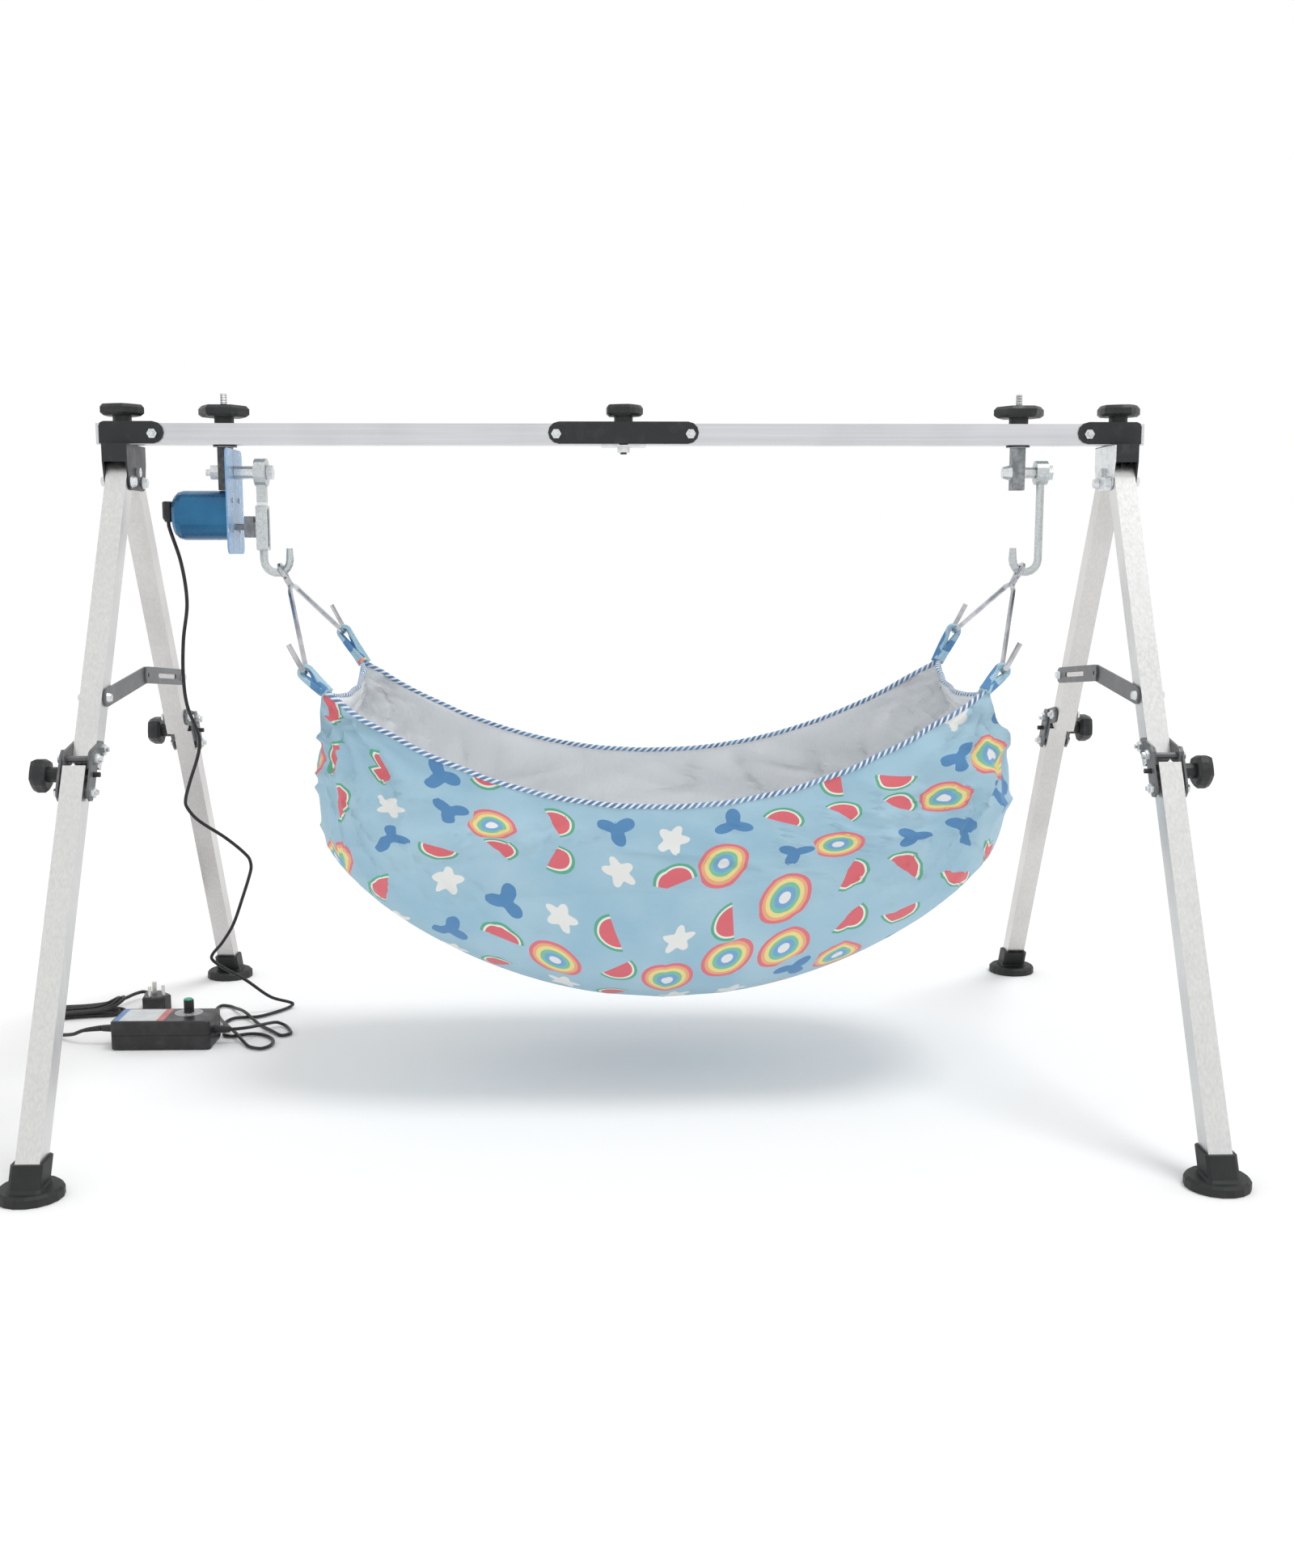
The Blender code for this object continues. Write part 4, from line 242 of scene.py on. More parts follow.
# ---------------------------------------------------------------- mains lead
# A round three-core mains lead. It leaves the left end of the speed control, and
# the rest is folded into a flat hank of two layers, drawn in at the waist, whose
# last turn rises to the plug that lies on its back beside it. A ribbed sleeve
# eases it out of the speed control's left gland.
MAINS_ROUTE_MM = [
    (-693.8, 85, 21.7), (-700.9, 85, 21.7), (-725.5, 88, 17.7), (-742.9, 95.9, 10.1),
    (-775.5, 119.5, 3.4), (-803.6, 151.7, 2.9), (-815.6, 180.2, 2.8), (-820, 195.1, 2.8),
]
HANK_ROUTE_MM = [
    (-819.8, 205.4, 2.8), (-819.8, 210.4, 2.8), (-819.7, 218.6, 2.8), (-816.1, 224.9, 2.8),
    (-809.5, 230.5, 2.8), (-799.7, 233.8, 2.8), (-786.7, 235.1, 2.8), (-768.4, 238.1, 2.8),
    (-750.6, 242.2, 2.8), (-738.5, 245.7, 2.8), (-728.8, 246.3, 2.8), (-721.2, 243.7, 2.8),
    (-716.2, 239.6, 2.8), (-713.7, 232.9, 2.8), (-713.9, 225.8, 2.8), (-717.4, 220.4, 2.8),
    (-723.6, 215.6, 2.8), (-732.9, 212.8, 2.8), (-745.2, 212, 2.8), (-762.3, 209.3, 2.8),
    (-779, 205.4, 2.8), (-790.2, 201.7, 2.8), (-799.2, 200.9, 2.8), (-806.1, 202.9, 2.8),
    (-810.7, 206.3, 2.8), (-812.9, 211.8, 2.8), (-812.5, 217.7, 2.8), (-809.2, 222.3, 2.8),
    (-803.2, 226.4, 2.8), (-794.5, 228.6, 2.8), (-783, 228.9, 2.8), (-767, 231.2, 2.8),
    (-751.5, 235.1, 2.8), (-741.2, 238.8, 2.8), (-732.9, 240, 2.8), (-726.5, 238.4, 2.8),
    (-722.4, 235.8, 2.8), (-720.5, 231.5, 2.8), (-721.1, 226.8, 2.8), (-724.3, 223.1, 2.8),
    (-729.9, 219.7, 2.8), (-738.1, 218.1, 2.8), (-748.9, 218.1, 2.8), (-763.8, 216.2, 2.8),
    (-778.1, 212.5, 3.3), (-787.5, 208.7, 3.8), (-795.1, 207.2, 4.3), (-800.9, 208.2, 4.7),
    (-804.5, 210, 5.2), (-806.1, 213.3, 5.7), (-806, 216.9, 6.2), (-803.4, 220, 6.7),
    (-798.5, 223.3, 7.2), (-791, 225, 7.6), (-780.8, 225.3, 8.1), (-766.2, 227.8, 8.6),
    (-751.9, 232.1, 9.5), (-742, 236.5, 12.1), (-733.9, 238.4, 15.6), (-727.4, 237.6, 19.1),
    (-722.9, 235.5, 21.7), (-720.5, 231.5, 22.6), (-720.5, 226.7, 21.7), (-723.1, 222.6, 19.1),
    (-728.4, 218.7, 15.6), (-736.4, 216.3, 12.1), (-747.3, 215.6, 9.5), (-763, 212.8, 8.6),
    (-778.6, 208.4, 8.6), (-789.3, 204, 8.6), (-798.1, 202.5, 8.6), (-805.3, 203.8, 8.6),
    (-810.2, 206.6, 8.6), (-812.9, 211.8, 8.6), (-813.1, 217.8, 8.6), (-810.3, 222.7, 8.6),
    (-804.8, 227.4, 8.6), (-796.2, 230.3, 8.6), (-784.5, 231.5, 8.6), (-767.7, 234.7, 8.6),
    (-751, 239.2, 9.5), (-739.4, 243.4, 12.1), (-729.8, 244.7, 15.6), (-722.1, 242.8, 19.1),
    (-716.7, 239.3, 21.7), (-713.7, 232.9, 22.6), (-713.3, 225.8, 21.7), (-716.2, 220, 19.1),
    (-722.1, 214.6, 15.6), (-731.2, 211.1, 12.1), (-743.6, 209.4, 9.5), (-761.6, 205.9, 8.6),
    (-779.5, 201.2, 8.6), (-791.9, 197.1, 8.6), (-802.2, 196.2, 8.6), (-810.5, 198.6, 8.6),
    (-816.3, 202.9, 8.6), (-819.8, 210.4, 8.6), (-820.3, 218.7, 8.6), (-817.3, 225.3, 8.6),
    (-811.1, 231.5, 8.6), (-801.4, 235.6, 8.6), (-788.3, 237.7, 8.6), (-769.2, 241.5, 8.6),
    (-750.1, 246.4, 9.5), (-741.9, 253.3, 9.6), (-734.6, 261.6, 9.5), (-728.1, 270.4, 9.5),
    (-723.3, 280.7, 10), (-719.1, 291.4, 10.5), (-714.3, 301.3, 10.6), (-708.6, 307.9, 10.5),
    (-696.3, 299.5, 10.5), (-694.2, 295, 10.5), (-690.9, 288, 10.5),
]
MAINS_RADIUS, MAINS_STEP = 0.0025, 0.003
SLEEVE_FROM, SLEEVE_TO, SLEEVE_STEP = 0.0058, 0.0310, 0.0007
SLEEVE_R, SLEEVE_TAPER, RIB_DEEP = 0.0041, 0.0011, 0.0005


def new_piece(name, verts, faces, maps):
    """A smooth mesh with a UV map in metres: maps holds a (u, v) for each face's corners."""
    mesh = bpy.data.meshes.new(name)
    mesh.from_pydata([tuple(v) for v in verts], [], faces)
    layer = mesh.uv_layers.new(name="cut")
    layer.data.foreach_set("uv", [value for face in maps for pair in face for value in pair])
    mesh.polygons.foreach_set("use_smooth", [True] * len(faces))
    mesh.update()
    return placed(name, mesh)


def rolled(name, path, radii, closed=False, sides=12, folds=0, fold_share=0.0, twist=0.0):
    """A soft round roll along a path; folds make its section lobed, and twist turns it."""
    count = len(path)
    tangents = []
    for i in range(count):
        before = path[i - 1] if closed or i else path[0]
        after = path[(i + 1) % count] if closed or i < count - 1 else path[-1]
        tangents.append((after - before).normalized())
    normal = tangents[0].orthogonal().normalized()
    verts, run = [], [0.0]
    for i, (point, tangent) in enumerate(zip(path, tangents)):
        if closed:
            normal = Vector((0, 0, 1))
        normal = (normal - tangent * normal.dot(tangent)).normalized()
        across = tangent.cross(normal)
        if i:
            run.append(run[-1] + (point - path[i - 1]).length)
        for k in range(sides):
            angle = 2 * math.pi * k / sides
            size = radii[i] * (1 + fold_share * math.sin(folds * angle + twist * run[-1]))
            verts.append(point + normal * math.cos(angle) * size + across * math.sin(angle) * size)
    faces, maps = [], []
    girth = 2 * math.pi * radii[0]
    for i in range(count if closed else count - 1):
        j = (i + 1) % count
        stop = run[j] if j else run[-1] + (path[0] - path[-1]).length
        for k in range(sides):
            m = (k + 1) % sides
            faces.append([i * sides + k, i * sides + m, j * sides + m, j * sides + k])
            low, high = girth * k / sides, girth * (k + 1) / sides
            maps.append([(run[i], low), (run[i], high), (stop, high), (stop, low)])
    if not closed:
        faces += [list(range(sides))[::-1], [(count - 1) * sides + k for k in range(sides)]]
        maps += [[(0, 0)] * sides, [(0, 0)] * sides]
    return new_piece(name, verts, faces, maps)


mains_line = curved_through(in_metres([*MAINS_ROUTE_MM, *HANK_ROUTE_MM]), MAINS_STEP)
mains_lead = laid_cord("mains_lead", mains_line, MAINS_RADIUS)
mains_lead.data.materials.append(cord_sheath)

sleeve_line, run = [], 0.0
for before, after in zip(mains_line, mains_line[1:]):
    run += (after - before).length
    if SLEEVE_FROM <= run <= SLEEVE_TO:
        sleeve_line.append(after.copy())
sleeve_line = curved_through(sleeve_line, SLEEVE_STEP)
last = len(sleeve_line) - 1
ribs = [SLEEVE_R - SLEEVE_TAPER * i / last - (RIB_DEEP if i // 2 % 2 else 0)
        for i in range(last + 1)]
mains_relief = rolled("mains_relief", sleeve_line, ribs, sides=20)
mains_relief.data.materials.append(cord_sheath)
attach(mains_relief, "stand")

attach(mains_lead, "stand")
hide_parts("mains_cord", "mains_hank")


# ---------------------------------------------------------------- aluminium tubes
# One inch square aluminium tube, extruded, cut and left bare: satin faces with
# fine die lines along their length, a few handling scratches and a duller film
# where hands and packing have rubbed them.
TUBE_HALF = 0.0127
LEG_LEAN = math.radians(28)
DIE_LINES, DIE_RUN, SCRATCH_SHARE = 420, 3, 0.006


def dress(material, *starts):
    """The material for each CAD node whose name starts with one of these."""
    for name, node in nodes.items():
        if name.startswith(starts):
            node.material_slots[0].material = material


def extruded(name, tint, lean=None):
    """Bare extruded aluminium: its die lines run along X, or down a leg that leans."""
    finish = Finish(name, tint, 0.32, Metallic=1.0)
    if lean is None:
        lines = finish.grain(1.0, (DIE_RUN, DIE_LINES, DIE_LINES), 2.0)
    else:
        turned = finish.add("Mapping", {"Vector": finish.add("TexCoord", out="Object"),
                                        "Rotation": (lean, 0, 0),
                                        "Scale": (DIE_LINES, DIE_LINES, DIE_RUN)})
        lines = finish.add("TexNoise", {"Vector": turned, "Scale": 1.0, "Detail": 2.0})
    film = finish.grain(9, detail=4.0)
    scratch = finish.add("TexVoronoi", {"Vector": finish.place((60, 60, 60)), "Scale": 1.0},
                         feature="DISTANCE_TO_EDGE")
    shade = finish.tones(lines, 0.3, 0.7, [c * 0.93 for c in tint], [c * 1.05 for c in tint])
    dull = finish.tones(film, 0.5, 0.72, (1, 1, 1), (0.86, 0.87, 0.88), 0.5)
    worn = finish.times(finish.below(scratch, SCRATCH_SHARE), 0.1)
    rough = finish.plus(finish.spread(film, 0.30, 0.46, 0.35, 0.7), worn)
    finish.feed(Base_Color=finish.shaded(shade, dull),
                Roughness=finish.plus(rough, finish.spread(lines, -0.04, 0.05, 0.3, 0.7)))
    return finish.bump(lines, depth=0.00006, strength=0.6).material


dress(extruded("bar_tube", (0.64, 0.65, 0.67)), "half_bar")
dress(extruded("front_leg_tube", (0.68, 0.68, 0.67), -LEG_LEAN),
      "upper_leg_front", "lower_leg_front")
dress(extruded("back_leg_tube", (0.66, 0.645, 0.63), LEG_LEAN),
      "upper_leg_back", "lower_leg_back")


# ---------------------------------------------------------------- feet
# Moulded rubber boots pushed over the ends of the lower tubes: a square socket
# on a wide round pad, matt black with the fine orange peel of the mould.
DUST_HIGH = 0.012


def moulded_rubber():
    finish = Finish("boot_rubber", (0.014, 0.015, 0.015), 0.55, Specular_IOR_Level=0.4)
    dust = finish.grain(35, detail=5.0)
    low = finish.spread(finish.axes()[2], 1.0, 0.0, 0.0, DUST_HIGH)
    share = finish.times(finish.spread(dust, 0.1, 0.8, 0.4, 0.7), finish.spread(low, 0.35, 1.0))
    finish.feed(Base_Color=finish.blend(share, (0.009, 0.011, 0.011), (0.045, 0.045, 0.043)),
                Roughness=finish.spread(dust, 0.42, 0.72))
    return finish.bump(finish.grain(700, detail=2.0), depth=0.0002).material


dress(moulded_rubber(), "foot")


# ---------------------------------------------------------------- bar brackets
# Two millimetre steel folded over the bar and powder coated satin black, each
# held by zinc-plated hexagon bolts right through the bar.
BRACKET_CHEEK_Y = 0.0150
SKIN = 0.0001


def zinc_colours(finish):
    """The mottled spangle and dull bloom of zinc plate, as a colour and a roughness."""
    spangle = finish.add("TexVoronoi", {"Vector": finish.place(), "Scale": 420.0}, "Distance")
    bloom = finish.grain(90, detail=4.0)
    colour = finish.tones(spangle, 0.05, 0.6, (0.56, 0.58, 0.59), (0.74, 0.76, 0.77))
    colour = finish.tones(bloom, 0.5, 0.75, colour, (0.42, 0.44, 0.44), 0.55)
    return colour, finish.spread(bloom, 0.24, 0.48, 0.3, 0.75)


def part_painted(name, mask_of, deep=(0.008, 0.010, 0.013), worn=(0.030, 0.033, 0.038)):
    """Rubbed paint where the mask is 0 and bright zinc where it is 1, such as on bolt heads."""
    finish = Finish(name, deep, 0.4)
    mask = mask_of(finish, finish.axes())
    rub = finish.grain(55, detail=5.0)
    zinc, zinc_rough = zinc_colours(finish)
    paint = finish.tones(rub, 0.52, 0.8, deep, worn)
    finish.feed(Base_Color=finish.blend(mask, paint, zinc), Metallic=mask)
    finish.feed(Roughness=finish.add("Mix", {0: mask, 2: finish.spread(rub, 0.34, 0.5, 0.35, 0.75),
                                             3: zinc_rough}))
    return finish.bump(finish.grain(1300, detail=1.0), depth=0.00008).material


def beyond(axis, middle, reach):
    """A mask of what stands further than reach from a middle, along axis 0, 1 or 2."""
    return lambda finish, places: finish.above(finish.off(places[axis], middle), reach + SKIN)


dress(part_painted("coated_bracket", beyond(1, 0, BRACKET_CHEEK_Y)),
      "centre_bracket", "corner_bracket")


# ---------------------------------------------------------------- leg saddles
# A folded box under each end of the bar. Both legs turn on domed pivot bolts in
# it and rest against a stop pin with a hexagon nut; bolts and pin are zinc. The
# right one is coated outside only, and its inner cheek shows bright zinc.
SADDLE_X, SADDLE_CHEEK_X, BARE_CHEEK_TOP = 0.611, 0.0152, 0.7806


def right_saddle_mask(finish, places):
    inner = finish.below(places[0], SADDLE_X - TUBE_HALF)
    bare = finish.times(inner, finish.below(places[2], BARE_CHEEK_TOP))
    return finish.maths("MAXIMUM", beyond(0, SADDLE_X, SADDLE_CHEEK_X)(finish, places), bare)


def bare_zinc(name):
    finish = Finish(name, (0.66, 0.68, 0.69), 0.3, Metallic=1.0)
    colour, rough = zinc_colours(finish)
    finish.feed(Base_Color=colour, Roughness=rough)
    return finish.bump(finish.grain(500), depth=0.00005).material


for side, mask_of in (("left", beyond(0, -SADDLE_X, SADDLE_CHEEK_X)), ("right", right_saddle_mask)):
    coat = part_painted(f"saddle_coat_{side}", mask_of, (0.010, 0.012, 0.016), (0.045, 0.047, 0.05))
    dress(coat, f"saddle_{side}")
dress(bare_zinc("zinc_plate"), "centre_clamp")


# ---------------------------------------------------------------- hand knobs
# Glass-filled nylon knobs moulded round their studs: satin black, with a fine
# spark-eroded grain and faintly lighter, polished lobes where fingers grip.
def gripped_nylon(name, deep, rubbed):
    finish = Finish(name, deep, 0.48, Specular_IOR_Level=0.45)
    hands = finish.grain(70)
    finish.feed(Base_Color=finish.tones(hands, 0.45, 0.8, deep, rubbed),
                Roughness=finish.spread(hands, 0.5, 0.34, 0.4, 0.75))
    return finish.bump(finish.grain(1500, detail=1.0), depth=0.00012).material


dress(gripped_nylon("knob_nylon", (0.013, 0.014, 0.015), (0.035, 0.037, 0.038)), "knuckle_knob")
dress(gripped_nylon("top_knob_nylon", (0.011, 0.013, 0.013), (0.030, 0.033, 0.032)),
      "corner_knob", "hanger_knob", "centre_knob")


# ---------------------------------------------------------------- knuckles
# Each leg folds at a pair of dark phosphated steel hook plates that swing between
# two strips. Pan-head bolts with hexagon nuts hold the plates to the tubes, and
# their zinc heads and nuts stand out beyond the strips on both sides.
PLATE_THICK, GAP = 0.0025, 0.0003
HOOK_PLATE_OUT = TUBE_HALF + GAP + PLATE_THICK
STRIP_OUT = HOOK_PLATE_OUT + GAP + PLATE_THICK

for side, sign in (("left", -1), ("right", 1)):
    hook_steel = part_painted(f"hook_steel_{side}", beyond(0, sign * SADDLE_X, HOOK_PLATE_OUT),
                              (0.115, 0.120, 0.124), (0.20, 0.205, 0.21))
    strip_steel = part_painted(f"strip_steel_{side}", beyond(0, sign * SADDLE_X, STRIP_OUT),
                               (0.120, 0.124, 0.128), (0.21, 0.215, 0.22))
    dress(hook_steel, f"knuckle_hook_front_{side}", f"knuckle_hook_back_{side}")
    dress(strip_steel, f"knuckle_strap_front_{side}", f"knuckle_strap_back_{side}")


# ---------------------------------------------------------------- spreader links
# Two flat steel links stop each pair of legs from sliding apart. They are bare
# grey steel between zinc rivets, and the back one has a long slot for the rivet.
for side, sign in (("left", -1), ("right", 1)):
    for layer, row in enumerate(("front", "back")):
        middle = TUBE_HALF + GAP + layer * (PLATE_THICK + GAP) + PLATE_THICK / 2
        rivets = beyond(0, sign * (SADDLE_X - middle), PLATE_THICK / 2)
        steel = part_painted(f"link_steel_{row}_{side}", rivets,
                             (0.105, 0.107, 0.112), (0.19, 0.19, 0.195))
        dress(steel, f"spreader_link_{row}_{side}")


# ---------------------------------------------------------------- hangers
# A threaded rod through the bar under each wide knob ends in a square steel
# block. The block is dark on the driven side, its washer is black, and the rod,
# the axle bolt, its nuts and its spacing sleeve are zinc plated.
HANGER_X, BLOCK_HALF = 0.4875, 0.008
BLOCK_TOP, WASHER_TOP, THREAD_BASE = 0.7795, 0.7820, 0.7822
THREAD_BANDS, THREAD_DEEP = 160.0, 0.0006


def hanger_finish(name, sign, steel):
    finish = Finish(name, (0.6, 0.62, 0.63), 0.3)
    x, y, z = finish.axes()
    widest = finish.maths("MAXIMUM", finish.off(x, sign * HANGER_X), finish.off(y))
    block = finish.times(finish.below(widest, BLOCK_HALF + SKIN), finish.below(z, BLOCK_TOP))
    washer = finish.between(z, BLOCK_TOP, WASHER_TOP)
    zinc, zinc_rough = zinc_colours(finish)
    threads = finish.add("TexWave", {"Vector": finish.place(), "Scale": THREAD_BANDS}, 1,
                         bands_direction="Z")
    dark = finish.tones(finish.grain(150), 0.4, 0.7, steel, [c * 1.7 for c in steel])
    colour = finish.blend(washer, finish.blend(block, zinc, dark), (0.010, 0.010, 0.012))
    finish.feed(Base_Color=colour, Metallic=finish.spread(washer, 1.0, 0.0),
                Roughness=finish.plus(zinc_rough, finish.times(block, 0.15)))
    return finish.bump(finish.times(threads, finish.above(z, THREAD_BASE)), THREAD_DEEP).material


dress(hanger_finish("hanger_left", -1, (0.07, 0.072, 0.075)), "hanger_rod_left")
dress(hanger_finish("hanger_right", 1, (0.20, 0.21, 0.22)), "hanger_rod_right")


# ---------------------------------------------------------------- swing arms
# Forged steel arms, zinc plated over the forging's sandy skin: an eye on the
# axle, a neck, and a round bar bent to an open hook. The driven one has a slotted
# block, and a bright ring is left where its neck was welded to the block.
WELD_Z, WELD_WAVE = (0.7088, 0.7128), 0.0008


def forged(name, weld):
    finish = Finish(name, (0.55, 0.58, 0.59), 0.4, Metallic=1.0)
    skin = finish.grain(480, detail=4.0)
    flow = finish.grain(45)
    colour = finish.tones(skin, 0.3, 0.75, (0.44, 0.475, 0.48), (0.72, 0.745, 0.75))
    colour = finish.tones(flow, 0.5, 0.75, colour, (0.36, 0.40, 0.41), 0.4)
    if weld:
        wavy = finish.plus(finish.axes()[2], finish.spread(flow, -WELD_WAVE, WELD_WAVE))
        colour = finish.blend(finish.between(wavy, *WELD_Z), colour, (0.76, 0.78, 0.77))
    finish.feed(Base_Color=colour, Roughness=finish.spread(skin, 0.34, 0.52, 0.3, 0.7))
    return finish.bump(skin, depth=0.00025).material


dress(forged("driven_arm_zinc", True), "hook_arm_left")
dress(forged("free_arm_zinc", False), "hook_arm_right")


# ---------------------------------------------------------------- drive
# The gear motor is a blue anodised can on an upright plate of tinted clear
# plastic, scuffed from handling and still cloudy where its film was peeled off.
# Its flat steel crank stands off the plate, beside the arm's slot.
MOTOR_PLATE_THICK = 0.002
PLATE_FACE_X = BLOCK_HALF + GAP + MOTOR_PLATE_THICK - HANGER_X


def tinted_plate():
    finish = Finish("tinted_plate", (0.30, 0.56, 0.84), 0.2, Transmission_Weight=0.25, IOR=1.49)
    scuff = finish.grain(60, (1, 1, 0.35), 6.0)
    flecks = finish.grain(190, (1, 1, 0.6))
    colour = finish.tones(scuff, 0.52, 0.70, (0.25, 0.50, 0.80), (0.62, 0.70, 0.86), 0.75)
    colour = finish.tones(flecks, 0.62, 0.70, colour, (0.92, 0.94, 0.97), 0.9)
    screws = finish.above(finish.axes()[0], PLATE_FACE_X + SKIN)
    finish.feed(Base_Color=finish.blend(screws, colour, (0.5, 0.51, 0.52)), Metallic=screws,
                Roughness=finish.spread(scuff, 0.12, 0.5, 0.45, 0.7))
    return finish.bump(scuff, depth=0.00012).material


def anodised_can():
    finish = Finish("anodised_can", (0.010, 0.115, 0.25), 0.3, Metallic=0.55, Coat_Weight=0.25,
                    Coat_Roughness=0.15)
    turned = finish.grain(1.0, (900, 14, 14), 2.0)
    hue = finish.grain(22, detail=2.0)
    finish.feed(Base_Color=finish.tones(hue, 0.35, 0.7, (0.008, 0.10, 0.23), (0.014, 0.15, 0.31)),
                Roughness=finish.spread(turned, 0.24, 0.38, 0.3, 0.7))
    return finish.bump(turned, depth=0.00004).material


def milled_steel():
    finish = Finish("milled_steel", (0.24, 0.25, 0.26), 0.4, Metallic=0.9)
    cut = finish.grain(1.0, (60, 1400, 60), 2.0)
    oil = finish.grain(110)
    finish.feed(Base_Color=finish.tones(oil, 0.4, 0.7, (0.20, 0.21, 0.22), (0.34, 0.35, 0.36)),
                Roughness=finish.spread(cut, 0.3, 0.5, 0.3, 0.7))
    return finish.bump(cut, depth=0.00005).material


dress(tinted_plate(), "motor_plate")
dress(anodised_can(), "motor_housing")
dress(milled_steel(), "drive_crank")


# ---------------------------------------------------------------- wire hangers
# Six and a half millimetre steel wire, bent cold to a loop, two shoulders and two
# upturned ends, and chromed, with a haze that dulls the chrome in places.
def chromed_wire():
    finish = Finish("chromed_wire", (0.50, 0.51, 0.53), 0.1, Metallic=1.0)
    haze = finish.grain(45, detail=4.0)
    finish.feed(Base_Color=finish.tones(haze, 0.35, 0.7, (0.56, 0.57, 0.59), (0.34, 0.35, 0.38)),
                Roughness=finish.spread(haze, 0.07, 0.22, 0.4, 0.72))
    return finish.bump(finish.grain(800, (1, 1, 0.1), 2.0), depth=0.00003).material


dress(chromed_wire(), "wire_hanger")


# ---------------------------------------------------------------- sling
# A blank of printed cotton, darted and sewn to a long open bowl that hangs from
# its four corners. The same bowl of fine knitted net lines it, a striped piping
# closes the rim, and the bunched corners run on into loops over the wires.

# Where the bowl lies, and how far it reaches at the rim and below it.
SLING_MID, SLING_HALF = 0.03825, 0.38788
SLING_DRIFT, SLING_BULGE = 0.0095, 0.0325
SLING_MID_Y, SLING_END_Y, SLING_END_BOW = 0.195, 0.150, 0.008
SLING_BASE, FLOOR_RISE = 0.096, 0.145
RIM_Z, RIM_RISE, RIM_POWER, RIM_LEAN = 0.372, 0.128, 2.1, 0.010
END_DIP, END_DIP_POWER = 0.018, 8
# How square its ends, its walls and its plan are, and its steps round and down.
END_POWER, SIDE_POWER, PLAN_POWER = 11, 2.6, 4.4
ROUND_DEPTH_SHARE, DEEPEST_SHARE = 0.4, 0.9995
CORNER_TURN = math.radians(28)
SIDE_STEPS, END_STEPS, ROWS, TRIAL_ROWS = 84, 34, 56, 300
CORNERS = {(-1, -1): 0, (1, -1): SIDE_STEPS, (1, 1): SIDE_STEPS + END_STEPS,
           (-1, 1): 2 * SIDE_STEPS + END_STEPS}
CLOTH_THICK, NET_THICK, LINING_GAP = 0.0016, 0.0011, 0.0006
BACK_PANEL_U, FLOOR_PANEL_V = 5.0, 1.0
# How deep and how close its gathers, folds, slack and creases are.
WALL_HIGH = 0.33
GATHER_DEEP, GATHER_TURN, GATHER_LOOSE = 0.0016, 0.83, 2.4
FOLD_DEEP, FOLD_REACH, FOLD_EASE, FOLDS, FOLD_LOOSE = 0.0060, 0.13, 0.03, 15, 2
SLACK_DEEP = 0.0035
CREASE_DEEP, CREASE_LEAN, CREASE_POWER = 0.0085, 1.1, 9
PIPING_R, PIPING_PITCH = 0.0031, 0.0085
# The wires' upturned ends, as in the CAD, and the cloth loops round them.
WIRE_X = {-1: -0.4216299, 1: 0.4941299}
SWAY_Z = 0.6286092
WIRE_TILT, WIRE_ROLL = math.radians(26), math.radians(7)
WIRE_R, WIRE_ARM_Y, WIRE_BASE = 0.00325, 0.141, 0.111
LOOP_RIM_R, LOOP_HOOK_R, LOOP_SPREAD, LOOP_GAP = 0.0068, 0.0032, 0.0045, 0.0004
LOOP_STEP, LOOP_TURN_STEPS, LOOP_HOOK_SHARE = 0.0022, 6, 0.25
PRINT_CELL, DISC_R, WEDGE_R, STAR_R, PETAL_R = 0.068, 0.031, 0.026, 0.020, 0.025


def rim_plan():
    """The rim seen from above, once round from the front left corner."""
    points = []
    for side in (-1, 1):
        for i in range(SIDE_STEPS):
            share = 2 * i / SIDE_STEPS - 1
            bulge = SLING_END_Y + (SLING_MID_Y - SLING_END_Y) * (1 - share * share)
            angle = math.pi + CORNER_TURN + (math.pi - 2 * CORNER_TURN) * i / SIDE_STEPS
            points.append((-side * share * SLING_HALF, side * bulge,
                           angle + (side + 1) * math.pi / 2))
        for i in range(END_STEPS):
            share = 2 * i / END_STEPS - 1
            bow = SLING_END_BOW * (1 - share * share)
            angle = -CORNER_TURN + 2 * CORNER_TURN * i / END_STEPS
            points.append((-side * (SLING_HALF - bow), -side * share * SLING_END_Y,
                           angle + (side + 1) * math.pi / 2))
    return points


RIM_PLAN = rim_plan()


def power(value, exponent):
    return math.copysign(abs(value) ** exponent, value)


